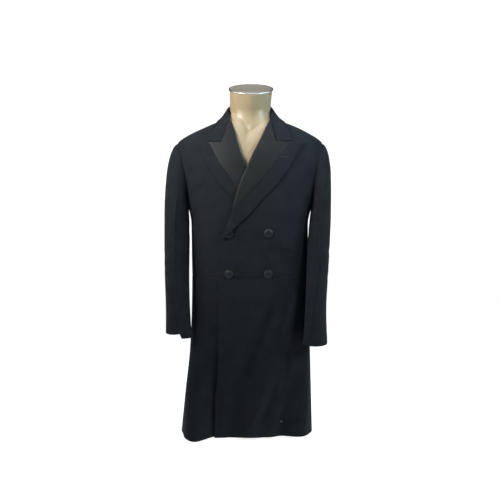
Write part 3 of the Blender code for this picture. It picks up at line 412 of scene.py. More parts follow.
def panel(name, heights, low, high, count, out, look, sewn, folds=skirtFolds, strip=None):
    # a panel from one edge to another, each an angle at a height; sewn says which of its low,
    # high, bottom and top edges are seams, and strip where a seam runs down inside it
    angles, dips, lengths = [], [], []
    for z in heights:
        ends = [float(roundLength(edge(z), z)) for edge in (low, high)]
        if strip:
            where, deep = strip(z)
            cut, first = float(roundLength(where, z)), count // 5
            row = np.concatenate([closeAtEdges(ends[0], cut, first),
                                  closeAtEdges(cut, ends[1], count - first)[1:]])
            dip = deep * edgeDip(np.abs(row - cut), True)
        else:
            row, dip = closeAtEdges(*ends, count), 0
        angles.append(angleRound(row, z))
        dips.append(dip + edgeDip(row - ends[0], sewn[0]) + edgeDip(ends[1] - row, sewn[1]))
        lengths.append(row)
    angles, dips, lengths = np.array(angles), np.array(dips), np.array(lengths)
    z = np.repeat(np.array(heights)[:, None], angles.shape[1], 1)
    dips += edgeDip(z - heights[0], sewn[2]) + edgeDip(heights[-1] - z, sewn[3])
    plain = np.where(angles > math.pi, angles - 2 * math.pi, angles)
    outs = out(plain, z)
    z = z - hemDrop(plain, z)
    outer = skin(angles, z, outs - dips, folds)
    inner = skin(angles, z, outs - cloth["thick"], folds)
    return shell(name, outer, inner, look, weave=np.stack([lengths, z], -1))


def spread(low, high, step=cloth["mesh"]):
    return list(closeAtEdges(low, high, max(3, round((high - low) / step))))


# Materials

def newMaterial(name, colour, **inputs):
    look = bpy.data.materials.new(name)
    look.use_nodes = True
    shader = look.node_tree.nodes["Principled BSDF"]
    shader.inputs["Base Color"].default_value = (*colour, 1)
    for key, value in inputs.items():
        shader.inputs[key].default_value = value
    return look, look.node_tree, shader


def addNode(tree, kind, values=None, **settings):
    node = tree.nodes.new(kind)
    for key, value in settings.items():
        setattr(node, key, value)
    for key, value in (values or {}).items():
        node.inputs[key].default_value = value
    return node


def shades(tree, factor, dark, light, low=0.3, high=0.7):
    ramp = addNode(tree, "ShaderNodeValToRGB")
    ramp.color_ramp.elements[0].position, ramp.color_ramp.elements[1].position = low, high
    ramp.color_ramp.elements[0].color, ramp.color_ramp.elements[1].color = (*dark, 1), (*light, 1)
    tree.links.new(factor, ramp.inputs["Fac"])
    return ramp.outputs["Color"]


def bump(tree, height, strength, distance, below=None):
    node = addNode(tree, "ShaderNodeBump", {"Strength": strength, "Distance": distance})
    tree.links.new(height, node.inputs["Height"])
    if below:
        tree.links.new(below, node.inputs["Normal"])
    return node.outputs["Normal"]


woolLook = {"dark": (0.0088, 0.0104, 0.0130), "light": (0.0124, 0.0142, 0.0172), "twill": 0.0009,
            "nap": 900, "sheen": 0.03, "roughness": 0.92,
            "lint": ((-0.1480, -0.115, 0.235, 0.0010, 0.03), (0.0810, -0.120, 0.3630, 0.0010, 0.03),
                     (-0.0850, -0.125, 0.1440, 0.0010, 0.03), (0.0953, -0.120, 0.0530, 0.0016, 0.18))}


def makeWool():
    look, tree, shader = newMaterial("black_wool", woolLook["dark"], **{
        "Roughness": woolLook["roughness"], "Sheen Weight": woolLook["sheen"], "Sheen Roughness": 0.45,
        "Sheen Tint": (0.55, 0.66, 0.85, 1), "Specular IOR Level": 0.06})
    place = addNode(tree, "ShaderNodeUVMap", uv_map="weave")
    space = addNode(tree, "ShaderNodeTexCoord")
    cloud = addNode(tree, "ShaderNodeTexNoise", {"Scale": 26, "Detail": 4, "Roughness": 0.6})
    tree.links.new(space.outputs["Object"], cloud.inputs["Vector"])
    colour = shades(tree, cloud.outputs["Fac"], woolLook["dark"], woolLook["light"])
    # a few specks of lint on the skirt
    for x, y, z, wide, pale in woolLook["lint"]:
        apart = addNode(tree, "ShaderNodeVectorMath", operation="SUBTRACT")
        apart.inputs[1].default_value = (x, y, z)
        flat = addNode(tree, "ShaderNodeVectorMath", operation="MULTIPLY")
        flat.inputs[1].default_value = (0.6, 0.04, 1)
        far = addNode(tree, "ShaderNodeVectorMath", operation="LENGTH")
        near = addNode(tree, "ShaderNodeMath", operation="LESS_THAN")
        near.inputs[1].default_value = wide
        blend = addNode(tree, "ShaderNodeMix", data_type="RGBA")
        blend.inputs[7].default_value = (pale, pale, pale, 1)
        tree.links.new(space.outputs["Object"], apart.inputs[0])
        tree.links.new(apart.outputs["Vector"], flat.inputs[0])
        tree.links.new(flat.outputs["Vector"], far.inputs[0])
        tree.links.new(far.outputs["Value"], near.inputs[0])
        tree.links.new(near.outputs["Value"], blend.inputs[0])
        tree.links.new(colour, blend.inputs[6])
        colour = blend.outputs[2]
    tree.links.new(colour, shader.inputs["Base Color"])
    twill = addNode(tree, "ShaderNodeTexWave", {"Scale": 0.628 / woolLook["twill"], "Distortion": 0.6,
                                                "Detail": 1, "Detail Scale": 1.5},
                    wave_type="BANDS", bands_direction="DIAGONAL")
    tree.links.new(place.outputs["UV"], twill.inputs["Vector"])
    nap = addNode(tree, "ShaderNodeTexNoise", {"Scale": woolLook["nap"], "Detail": 2})
    tree.links.new(space.outputs["Object"], nap.inputs["Vector"])
    rough = bump(tree, nap.outputs["Fac"], 0.35, 0.0003)
    tree.links.new(bump(tree, twill.outputs["Fac"], 0.35, 0.0002, rough), shader.inputs["Normal"])
    return look


silkLook = {"dark": (0.0046, 0.0054, 0.0058), "light": (0.0064, 0.0074, 0.0078),
            "rib": 0.0008, "roughness": 0.56}


def makeSilk():
    look, tree, shader = newMaterial("black_silk", silkLook["dark"], **{
        "Roughness": silkLook["roughness"], "Sheen Weight": 0.05, "Sheen Roughness": 0.3,
        "Sheen Tint": (0.8, 0.88, 0.9, 1), "Specular IOR Level": 0.18})
    place = addNode(tree, "ShaderNodeUVMap", uv_map="weave")
    space = addNode(tree, "ShaderNodeTexCoord")
    cloud = addNode(tree, "ShaderNodeTexNoise", {"Scale": 30, "Detail": 3})
    tree.links.new(space.outputs["Object"], cloud.inputs["Vector"])
    tree.links.new(shades(tree, cloud.outputs["Fac"], silkLook["dark"], silkLook["light"]),
                   shader.inputs["Base Color"])
    rib = addNode(tree, "ShaderNodeTexWave", {"Scale": 0.314 / silkLook["rib"], "Distortion": 0.3},
                  wave_type="BANDS", bands_direction="Y")
    tree.links.new(place.outputs["UV"], rib.inputs["Vector"])
    tree.links.new(bump(tree, rib.outputs["Fac"], 0.25, 0.00015), shader.inputs["Normal"])
    return look


buttonLook = {"dark": (0.0046, 0.0062, 0.0069), "light": (0.0082, 0.0110, 0.0119), "weave": 900}


def makeButtonCloth():
    look, tree, shader = newMaterial("button_cloth", (0.0075, 0.0090, 0.0100), **{
        "Roughness": 0.42, "Sheen Weight": 0.06, "Sheen Roughness": 0.35, "Sheen Tint": (0.75, 0.85, 0.95, 1),
        "Specular IOR Level": 0.32})
    space = addNode(tree, "ShaderNodeTexCoord")
    weave = addNode(tree, "ShaderNodeTexBrick", {"Scale": buttonLook["weave"], "Mortar Size": 0.03,
                                                 "Row Height": 0.5,
                                                 "Color1": (1, 1, 1, 1), "Color2": (0.6, 0.6, 0.6, 1),
                                                 "Mortar": (0, 0, 0, 1)})
    tree.links.new(space.outputs["Object"], weave.inputs["Vector"])
    tree.links.new(shades(tree, weave.outputs["Color"], buttonLook["dark"], buttonLook["light"], 0, 1),
                   shader.inputs["Base Color"])
    tree.links.new(bump(tree, weave.outputs["Color"], 0.3, 0.0002), shader.inputs["Normal"])
    return look


def makeThread():
    look, tree, shader = newMaterial("black_twist", (0.009, 0.010, 0.012), Roughness=0.8)
    space = addNode(tree, "ShaderNodeTexCoord")
    ply = addNode(tree, "ShaderNodeTexWave", {"Scale": 700, "Distortion": 1.0}, bands_direction="DIAGONAL")
    tree.links.new(space.outputs["Object"], ply.inputs["Vector"])
    tree.links.new(bump(tree, ply.outputs["Fac"], 0.5, 0.0002), shader.inputs["Normal"])
    return look


def makeShellPaint():
    look, tree, shader = newMaterial("form_shell", (0.265, 0.205, 0.125), **{
        "Roughness": 0.42, "Coat Weight": 0.12, "Coat Roughness": 0.25})
    space = addNode(tree, "ShaderNodeTexCoord")
    cloud = addNode(tree, "ShaderNodeTexNoise", {"Scale": 9, "Detail": 3})
    tree.links.new(space.outputs["Object"], cloud.inputs["Vector"])
    tree.links.new(shades(tree, cloud.outputs["Fac"], (0.252, 0.193, 0.115), (0.284, 0.220, 0.135)),
                   shader.inputs["Base Color"])
    peel = addNode(tree, "ShaderNodeTexNoise", {"Scale": 260, "Detail": 1})
    tree.links.new(space.outputs["Object"], peel.inputs["Vector"])
    tree.links.new(bump(tree, peel.outputs["Fac"], 0.06, 0.0004), shader.inputs["Normal"])
    return look


def makeSteel(name, colour, roughness, brushed):
    look, tree, shader = newMaterial(name, colour, Roughness=roughness, Metallic=1.0)
    space = addNode(tree, "ShaderNodeTexCoord")
    stretch = addNode(tree, "ShaderNodeMapping", {"Scale": (1, 60, 1) if brushed else (1, 1, 1)})
    grain = addNode(tree, "ShaderNodeTexNoise", {"Scale": 40 if brushed else 12, "Detail": 5})
    tree.links.new(space.outputs["Object"], stretch.inputs["Vector"])
    tree.links.new(stretch.outputs["Vector"], grain.inputs["Vector"])
    dim = tuple(0.8 * value for value in colour)
    tree.links.new(shades(tree, grain.outputs["Fac"], dim, colour), shader.inputs["Base Color"])
    tree.links.new(bump(tree, grain.outputs["Fac"], 0.10, 0.0002), shader.inputs["Normal"])
    return look


looks = {"wool": makeWool(), "silk": makeSilk(), "button": makeButtonCloth(), "thread": makeThread(),
         "shell": makeShellPaint(), "rim": makeSteel("cap_rim", (0.62, 0.61, 0.59), 0.28, False),
         "top": makeSteel("cap_top", (0.84, 0.74, 0.58), 0.45, True),
         "stand": makeSteel("stand_steel", (0.93, 0.93, 0.93), 0.10, False)}


def place(piece, look, *nodes):
    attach(piece, "root")
    if nodes:
        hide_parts(*nodes)
    return piece


# Body of the coat

def armholeY(z, face):
    half = arm["front"] if face < 0 else arm["back"]
    share = np.clip((z - arm["z"]) / arm["high"], -1, 1)
    return arm["y"] + face * half * np.sqrt(1 - share * share)


def armholeHeights(low, count):
    start = math.asin((low - arm["z"]) / arm["high"])
    return [arm["z"] + arm["high"] * math.sin(mix(start, math.pi / 2, i / count)) for i in range(count)]


def armEdge(z, side, face):
    if z < levels["shoulder"] - 1e-9:
        return float(angleAtY(armholeY(z, face), z, side))
    return side * (math.pi / 2 + face * cloth["gap"] / 2 / float(readTable(body, "left", z)))


def backSeamAngle(z, side):
    if z >= levels["backSeamTop"] - 1e-9:
        return float(angleAtY(armholeY(z, 1), z, side))
    return float(angleAtX(side * readTable(backSeam, "x", z), z, back=True))


def pastBack(angle):
    return angle if angle > 0 else angle + 2 * math.pi


shoulderHeights = list(np.linspace(levels["shoulder"], levels["neck"] - cloth["gap"] / 2, 44))
skirtHeights = spread(levels["hem"], levels["waist"] - cloth["gap"] / 2)
waistUp = levels["waist"] + cloth["gap"] / 2


def makeFronts():
    heights = spread(waistUp, levels["sideTop"])[:-5] + armholeHeights(levels["sideTop"], 42) + shoulderHeights

    def outerEdge(side):
        def edge(z):
            if z < levels["sideTop"]:
                seam = float(angleAtY(readTable(sideSeam, "y", z), z, side))
                return shiftAngle(seam, z, -side * cloth["gap"] / 2)
            return armEdge(z, side, -1)
        return edge

    def lapelStrip(z):
        # the seam of the strip that carries the lapel, hidden under the lapel higher up
        x = max(mix(-0.031, -0.037, (z - levels["waist"]) / 0.2), float(readTable(leftEdge, "x", z)) + 0.012)
        return angleAtX(x, z), 1 - smooth(0.700, 0.716, z)

    left = panel("left_front", heights, lambda z: angleAtX(readTable(leftEdge, "x", z), z), outerEdge(1),
                 78, leftFrontOut, looks["wool"], (False, True, True, True), strip=lapelStrip)
    right = panel("right_front", heights, outerEdge(-1), lambda z: angleAtX(readTable(rightEdge, "x", z), z),
                  78, lambda a, z: 0 * a, looks["wool"], (True, False, True, True))
    place(left, "wool", "front_left")
    place(right, "wool", "front_right")
    return left, right


def makeSides():
    for name, side in (("left", 1), ("right", -1)):
        v = closeAtEdges(0, 0.26, 52)[:, None] / 0.26
        u = closeAtEdges(0, 0.18, 38)[None, :] / 0.18
        start = math.pi + math.acos(min((arm["y"] - armholeY(levels["sideTop"], -1)) / arm["front"], 1))
        turn = mix(start, 2 * math.pi, u)
        topZ = arm["z"] + arm["high"] * np.sin(turn)
        topY = np.where(np.cos(turn) < 0, armholeY(topZ, -1), armholeY(topZ, 1))
        top = angleAtY(topY, topZ, side)
        z = mix(waistUp, topZ, v)
        frontEdge, backEdge = [], []
        for share in v[:, 0]:
            frontZ, backZ = mix(waistUp, levels["sideTop"], share), mix(waistUp, levels["backSeamTop"], share)
            seam = float(angleAtY(readTable(sideSeam, "y", frontZ), frontZ, side))
            frontEdge.append(shiftAngle(seam, frontZ, side * cloth["gap"] / 2))
            backEdge.append(shiftAngle(backSeamAngle(backZ, side), backZ, -side * cloth["gap"] / 2))
        frontEdge, backEdge = np.array(frontEdge)[:, None], np.array(backEdge)[:, None]
        frontTop = float(angleAtY(armholeY(levels["sideTop"], -1), levels["sideTop"], side))
        backTop = float(angleAtY(armholeY(levels["backSeamTop"], 1), levels["backSeamTop"], side))
        angle = mix(mix(frontEdge[0], backEdge[0], u), top, v)
        angle = angle + (1 - u) * (frontEdge - mix(frontEdge[0], frontTop, v))
        angle = angle + u * (backEdge - mix(backEdge[0], backTop, v))
        dip = edgeDip(u * 0.18, True) + edgeDip((1 - u) * 0.18, True)
        dip = dip + edgeDip(v * 0.26, True) + edgeDip((1 - v) * 0.26, True)
        outer, inner = skin(angle, z, -dip), skin(angle, z, -cloth["thick"])
        weave = np.stack([np.broadcast_to(u * 0.18, z.shape), z], -1)
        place(shell(name + "_side", outer, inner, looks["wool"], side < 0, weave), "wool", "side_" + name)


def outerBackEdge(side):
    def edge(z):
        if z < levels["waist"]:
            return float(angleAtX(side * readTable(pleat, "x", z), z, back=True))
        if z < levels["backSeamTop"]:
            return shiftAngle(backSeamAngle(z, side), z, side * cloth["gap"] / 2)
        return armEdge(z, side, 1)
    return edge


def makeBacks():
    heights = skirtHeights + spread(waistUp, levels["backSeamTop"])[1:-5]
    heights += armholeHeights(levels["backSeamTop"], 26) + shoulderHeights

    def leftCentre(z):
        return float(angleAtX(cloth["gap"] / 2, z, back=True))

    def rightStart(z):
        if z < levels["vent"]:
            return float(angleAtX(pleat["ventUnder"], z, back=True))
        return pastBack(float(angleAtX(-cloth["gap"] / 2, z, back=True)))

    left = panel("left_back", heights, outerBackEdge(1), leftCentre, 60, leftBackOut, looks["wool"],
                 (True, True, False, True))
    right = panel("right_back", heights, rightStart, lambda z: pastBack(outerBackEdge(-1)(z)), 66,
                  rightBackOut, looks["wool"], (True, True, False, True))
    place(left, "wool", "back_left")
    place(right, "wool", "back_right")


def makeSkirts():
    def tucked(side):
        return lambda z: shiftAngle(outerBackEdge(side)(z), z, side * pleat["under"])

    left = panel("left_skirt", skirtHeights, lambda z: angleAtX(readTable(leftEdge, "x", z), z), tucked(1),
                 150, leftFrontOut, looks["wool"], (False, False, False, True))
    right = panel("right_skirt", skirtHeights, tucked(-1), lambda z: angleAtX(readTable(rightEdge, "x", z), z),
                  150, lambda a, z: 0 * a, looks["wool"], (False, False, False, True),
                  (*skirtFolds, underFold))
    place(left, "wool", "skirt_left")
    place(right, "wool", "skirt_right")


# Lapels and their silk

lapel = {
    "gorgeTop": (0.0605, 0.9676), "gorgeFoot": {1: (0.0765, 0.9000), -1: (0.086, 0.8970)},
    "silkCorner": (0.124, 0.8990), "peak": (0.163, 0.897), "rightWider": 0.010,
    "silkFoot": 0.03,               # width of the silk at its foot, as a share of the lapel's
    "silkFrom": 0.205,              # and how far up the lapel it starts
    "out": 0.0041, "silkOut": 0.0054,
    "roll": 0.0050,                 # width of the rounded roll at the fold
    "belly": 0.0016,                # how far the lapel lifts off the chest between roll and edge
    "rows": 120, "buttonLift": 0.0082, "buttonLiftWide": 0.026,
}
frontButtons = ((-0.063, 0.626), (0.053, 0.629), (-0.063, 0.505), (0.054, 0.505))


def overButton(x, z):
    away = np.hypot(x - frontButtons[0][0], z - frontButtons[0][1]) / lapel["buttonLiftWide"]
    return lapel["buttonLift"] * np.exp(-away ** 4)


def silkShare(first, last, side):
    low, high = 0.0, 1.0
    for _ in range(30):
        middle = (low + high) / 2
        x, z = mix(first[0], last[0], middle), mix(first[1], last[1], middle)
        if x < readTable(silkEdge[side], "x", z):
            low = middle
        else:
            high = middle
    return max(low, lapel["silkFoot"])


def lapelPlaces(side, columns, firstRow=0.0):
    # rows of (x, z) seen from the front, from the roll line (column 0) over the edge of the silk
    # (column 5) to the lapel's edge (column 8)
    roll = leftEdge if side > 0 else rightEdge
    corners = [lapel["gorgeTop"], lapel["gorgeFoot"][side], lapel["silkCorner"], lapel["peak"]]
    goal = np.stack([np.interp(columns, (0, 3, 5, 8), [corner[i] for corner in corners]) for i in (0, 1)], -1)
    pull = np.where(columns <= 5, columns / 5, (8 - columns) / 3)
    rows, straight = [], None
    for t in np.linspace(1, firstRow, lapel["rows"]):
        v = 1 - (1 - t) ** 1.35
        rollZ = mix(levels["break"] + 0.002, corners[0][1], v)
        edgeZ = mix(levels["break"] + 0.002, corners[3][1], v)
        first = np.array((side * float(readTable(roll, "x", rollZ)), rollZ))
        wider = lapel["rightWider"] * smooth(0.640, 0.760, edgeZ) if side < 0 else 0
        last = np.array((float(readTable(lapelEdge, "x", edgeZ)) + wider, edgeZ))
        silk = silkShare(first, last, side) if rollZ > silkEdge[side]["z"][0] else lapel["silkFoot"]
        share = np.where(columns <= 5, silk * columns / 5, mix(silk, 1, (columns - 5) / 3))
        row = mix(first, last, share[:, None])
        if straight is None:
            straight = row.copy()
        row = row + (goal - straight) * v ** 4
        z = np.interp(5, columns, row[:, 1])
        if silkEdge[side]["z"][0] < z and t < 1:
            row[:, 0] += pull * (float(readTable(silkEdge[side], "x", z)) - np.interp(5, columns, row[:, 0]))
        rows.insert(0, row)
    places = np.array(rows)
    places[..., 0] *= side
    return places


def onFront(places, side, out, lifted=True):
    # points over the front piece at places seen from the front
    x, z = places[..., 0], places[..., 1]
    angle = angleAtX(x, z)
    under = leftFrontOut(angle, z) if side > 0 else 0 * x
    lift = overButton(x, z) if side > 0 and lifted else 0 * x
    return skin(angle, z, under + out + lift)


def lapelReach(places):
    # distances from the roll line and from the edge, and how far round the roll a point has come
    fromRoll = np.hypot(*np.moveaxis(places - places[:, :1], -1, 0))
    fromEdge = np.hypot(*np.moveaxis(places - places[:, -1:], -1, 0))
    return fromRoll, fromEdge, np.sqrt(1 - (1 - np.clip(fromRoll / lapel["roll"], 0, 1)) ** 2)


def makeLapels():
    for name, side in (("left", 1), ("right", -1)):
        columns = np.concatenate([[0, 0.06, 0.15, 0.3, 0.5], np.linspace(0.75, 4.8, 26),
                                  np.linspace(5, 7.6, 16), [7.75, 7.88, 7.95, 8]])
        places = lapelPlaces(side, columns)
        fromRoll, fromEdge, rolled = lapelReach(places)
        wide = fromRoll + fromEdge
        belly = lapel["belly"] * np.sin(math.pi * np.clip(fromRoll / np.maximum(wide, 1e-6), 0, 1))
        belly = belly * np.clip(wide / 0.08, 0, 1)
        out = mix(0.0022, lapel["out"], rolled) + belly
        outer = onFront(places, side, out - edgeDip(fromEdge, False) - 0.2 * edgeDip(fromRoll, False))
        inner = onFront(places, side, np.maximum(out - cloth["lapelThick"], 0.0006))
        flat = np.stack([fromRoll, places[..., 1]], -1)
        piece = shell(name + "_lapel", outer, inner, looks["wool"], side < 0, flat)
        place(piece, "wool", "lapel_" + name)
        silkColumns = np.concatenate([[0, 0.04, 0.1, 0.2, 0.35, 0.55], np.linspace(0.8, 4.7, 26),
                                      [4.85, 4.93, 4.97, 5]])
        places = lapelPlaces(side, silkColumns, lapel["silkFrom"])
        fromRoll, fromEdge, rolled = lapelReach(places)
        share = np.interp(fromRoll, (0, 0.12), (0, 1))
        belly = lapel["belly"] * np.sin(math.pi * np.clip(share, 0, 1))
        out = mix(0.0033, lapel["silkOut"], rolled) + belly
        places[:, :3, 0] -= side * 0.0004
        outer = onFront(places, side, out - edgeDip(fromEdge, False))
        inner = onFront(places, side, out - cloth["silkThick"])
        flat = np.stack([fromRoll, places[..., 1]], -1)
        piece = shell(name + "_facing", outer, inner, looks["silk"], side < 0, flat)
        place(piece, "silk", "facing_" + name)


# Collar

collar = {
    "way":       (0.00, 0.18, 0.36, 0.54, 0.70, 0.86, 1.00),
    "foldAngle": (180, 152, 124, 95, 76, 58, 44),
    "foldZ":     (1.015, 1.015, 1.013, 1.006, 0.995, 0.983, 0.968),
    "edgeAngle": (180, 154, 126, 94, 50, 37, 32),
    "edgeZ":     (0.950, 0.951, 0.959, 0.9700, 0.949, 0.922, 0.902),
}
collarShape = {"corner": (0.124, 0.9025), "notch": 0.0020, "gorgeGap": 0.0012, "endOut": 0.0045,
               "fallOut": 0.0064, "edgeOut": 0.0029, "standEnds": 62, "foldOut": 0.0003}


def collarEnd(v, side):
    # the collar's front end: down the gorge, then along the notch to the corner
    bend = 0.65
    top = np.array(lapel["gorgeTop"])
    corner = np.array(collarShape["corner"])
    foot = np.where((side > 0)[..., None], lapel["gorgeFoot"][1], lapel["gorgeFoot"][-1])
    foot = foot + (0, collarShape["notch"])
    down = mix(top, foot, np.clip(v / bend, 0, 1)[..., None])
    out = mix(foot, corner, np.clip((v - bend) / (1 - bend), 0, 1)[..., None])
    spot = np.where((v < bend)[..., None], down, out)
    return np.abs(angleAtX(side * (spot[..., 0] + collarShape["gorgeGap"]), spot[..., 1])), spot[..., 1]


def fallPoints(u, v, lower=0.0):
    side = np.where(u >= 0.5, 1, -1)
    way = np.abs(2 * u - 1)
    angles = [np.radians(readTable(collar, key, way, "way")) for key in ("foldAngle", "edgeAngle")]
    angle = mix(*angles, v)
    z = mix(readTable(collar, "foldZ", way, "way"), readTable(collar, "edgeZ", way, "way"), v)
    endAngle, endZ = collarEnd(v, side)
    share = smooth(0.60, 1.0, way) ** 2
    lastAngle = mix(math.radians(collar["foldAngle"][-1]), math.radians(collar["edgeAngle"][-1]), v)
    lastZ = mix(collar["foldZ"][-1], collar["edgeZ"][-1], v)
    angle = angle + (endAngle - lastAngle) * share
    z = z + (endZ - lastZ) * share
    rolled = np.sqrt(1 - (1 - np.minimum(v / 0.16, 1)) ** 2)
    high = mix(collarShape["foldOut"], mix(collarShape["fallOut"], collarShape["edgeOut"], v), rolled)
    out = mix(high, collarShape["endOut"], smooth(0.62, 0.96, way))
    out = out + np.where(side > 0, leftFrontOut(angle, z), 0)
    # round the back and sides the collar falls straight from its fold to its edge
    points = skin(side * angle, z, out - lower)
    fold = skin(side * np.radians(readTable(collar, "foldAngle", way, "way")),
                readTable(collar, "foldZ", way, "way"), collarShape["foldOut"])
    edge = skin(side * np.radians(readTable(collar, "edgeAngle", way, "way")),
                readTable(collar, "edgeZ", way, "way"), collarShape["edgeOut"])
    bulge = 0.0008 * np.sin(math.pi * np.minimum(v, 1) ** 0.6)
    straight = mix(fold, edge, v[..., None]) + skinNormal(*np.moveaxis(fold, -1, 0)) * bulge[..., None]
    pull = 0.8 * (1 - smooth(0.56, 0.80, way))
    return points + (straight - skin(side * angle, z, out)) * pull[..., None]


def makeCollar():
    u = closeAtEdges(0, 0.46, 120)[None, :] / 0.46
    v = np.concatenate([np.linspace(0, 0.16, 9), np.linspace(0.19, 0.94, 22), [0.965, 0.985, 1]])[:, None]
    u, v = np.broadcast_arrays(u, v)
    dip = edgeDip((1 - v) * 0.05, False) + edgeDip(u * 0.46, False) + edgeDip((1 - u) * 0.46, False)
    outer = fallPoints(u, v, dip)
    normal = -gridNormals(fallPoints(u, v))
    own = (1 - smooth(0.70, 0.90, np.abs(2 * u - 1)))[..., None]
    plain = skinNormal(outer[..., 0], outer[..., 1], outer[..., 2])
    normal = mix(plain, normal, own)
    normal /= np.linalg.norm(normal, axis=-1, keepdims=True)
    inner = outer - normal * cloth["lapelThick"]
    piece = shell("collar_fall_cloth", outer, inner, looks["wool"], True, np.stack([u * 0.46, v * 0.05], -1))
    place(piece, "wool", "collar_fall")
    end = math.radians(collarShape["standEnds"])
    turn = np.linspace(end, 2 * math.pi - end, 90)[None, :]
    share = np.linspace(0, 1, 12)[:, None]
    angle = np.where(turn > math.pi, turn - 2 * math.pi, turn)
    way = np.interp(-np.abs(np.degrees(angle)), [-a for a in collar["foldAngle"]], collar["way"])
    top = readTable(collar, "foldZ", way, "way") - cloth["lapelThick"] - 0.0007
    z = mix(levels["neck"] + cloth["gap"] / 2, top, share)
    outer, inner = skin(angle, z), skin(angle, z, -cloth["thick"])
    weave = np.stack([np.broadcast_to(turn * 0.07, z.shape), z], -1)
    piece = shell("collar_stand_cloth", outer, inner, looks["wool"], False, weave)
    place(piece, "wool", "collar_stand")


# Sleeves

rightSleeve = {
    "z":      (0.665, 0.600, 0.520, 0.420, 0.310),
    "crease": (0.227, 0.228, 0.229, 0.222, 0.209),
    "hind":   (0.232, 0.233, 0.234, 0.236, 0.243),
    "away":   (0.035, 0.034, 0.032, 0.030, 0.029),
    "inward": (0.040, 0.042, 0.042, 0.040, 0.0395),
    "front":  (-0.080, -0.086, -0.096, -0.110, -0.124),
    "back":   (0.072, 0.064, 0.048, 0.022, -0.014),
}
leftSleeve = {
    "z":      (0.665, 0.600, 0.520, 0.420, 0.292),
    "crease": (0.214, 0.210, 0.204, 0.190, 0.170),
    "hind":   (0.217, 0.214, 0.212, 0.214, 0.226),
    "away":   (0.034, 0.034, 0.033, 0.031, 0.029),
    "inward": (0.030, 0.033, 0.032, 0.027, 0.021),
    "front":  (-0.084, -0.096, -0.111, -0.127, -0.140),
    "back":   (0.068, 0.050, 0.022, -0.002, -0.032),
}
sleeve = {"head": 0.108, "foreSeam": -38, "hindSeam": 206, "lean": 0.45, "pointed": 0.88, "headShare": 0.42,
          "radius": 0.05, "bow": 0.004,               # for the creases
          "perTurn": 0.055, "long": 0.62,             # cloth to a radian, and from cuff to head
          "behind": 0.0014,                           # how far the head goes in behind the armhole
          "crease": 0.0038, "creaseWide": 0.0030,     # the pressed fold down the front
          "cuffRise": {1: 0.0, -1: 0.0140},           # how much higher the cuff ends on its outer side
          "cuffTilt": {1: -0.0082, -1: -0.0065}}      # and how it slopes off away from the body

# Sleeve creases in degrees round the sleeve (0 at the front fold, 90 away from the body) and
# height, on both sleeves in turn
sleeveCreases = {
    1: (  # from turn, z, to turn, z, out, half width
        (20, 0.600, 110, 0.560, -0.0030, 0.012),
        (10, 0.540, 90, 0.520, -0.0026, 0.011),
        (30, 0.480, 120, 0.500, -0.0022, 0.012),
        (12, 0.700, 50, 0.760, -0.0028, 0.011),
        (150, 0.690, 120, 0.780, -0.0026, 0.012),
        (60, 0.870, 80, 0.800, 0.0022, 0.012),
        (110, 0.870, 100, 0.790, 0.0020, 0.012),
        (250, 0.600, 310, 0.640, -0.0026, 0.011),
        (200, 0.470, 150, 0.440, -0.0024, 0.011),
    ),
    -1: (
        (15, 0.590, 100, 0.545, -0.0030, 0.012),
        (25, 0.530, 110, 0.515, -0.0024, 0.011),
        (20, 0.465, 95, 0.490, -0.0022, 0.012),
        (8, 0.690, 45, 0.765, -0.0030, 0.011),
        (155, 0.700, 125, 0.775, -0.0024, 0.012),
        (70, 0.868, 78, 0.795, 0.0022, 0.012),
        (115, 0.872, 108, 0.800, 0.0020, 0.012),
        (245, 0.610, 305, 0.645, -0.0026, 0.011),
        (205, 0.480, 155, 0.450, -0.0022, 0.011),
    ),
}


def sleeveRing(table, side, z, turn):
    row = {name: readTable(table, name, z) for name in table if name != "z"}
    s, c = np.sin(turn), np.cos(turn)
    share = (1 - c) / 2
    bulge = np.where(s > 0, row["away"], -row["inward"] * (1 + sleeve["lean"] * c))
    x = mix(row["crease"], row["hind"], share) + bulge * np.abs(s) ** (1 / sleeve["pointed"])
    return np.stack([side * x, mix(row["front"], row["back"], share), z + 0 * x], -1)


def sleevePoints(table, side, turn, v):
    around = (turn + math.pi) % (2 * math.pi) - math.pi
    outside = smooth(-0.10, 0.05, around) * (1 - smooth(2.85, 3.10, around))
    topZ, cuffZ = table["z"][0], table["z"][-1] + sleeve["cuffRise"][side] * outside
    cuffZ = cuffZ + sleeve["cuffTilt"][side] * np.maximum(np.sin(turn), 0)
    head = sleeve["headShare"]
    tube = sleeveRing(table, side, mix(cuffZ, topZ, np.minimum(v / (1 - head), 1)), turn)
    t = np.maximum((1 - v) / head, 0)[..., None]
    z = arm["z"] + arm["high"] * np.sin(turn)
    y = np.where(np.cos(turn) > 0, armholeY(z, -1), armholeY(z, 1))
    start = skin(angleAtY(y, z, side), z)
    start[..., 0] -= side * sleeve["behind"]
    end = sleeveRing(table, side, topZ + 0 * turn, turn)
    high = (1 + np.sin(turn)) / 2
    reach = np.linalg.norm(end - start, axis=-1)
    out = np.stack([side * sleeve["head"] * high ** 0.8,
                    -0.05 * np.maximum(np.cos(turn), 0) + 0.035 * np.maximum(-np.cos(turn), 0),
                    -0.9 * reach * (1 - high) - 0.02 * high], -1)
    down = np.stack([0 * reach, 0 * reach, -reach * mix(0.9, 1.0, high)], -1)
    top = (start * (1 + 2 * t) * (1 - t) ** 2 + end * t * t * (3 - 2 * t)
           + out * t * (1 - t) ** 2 - down * t * t * (1 - t))
    return np.where((v <= 1 - head)[..., None], tube, top)


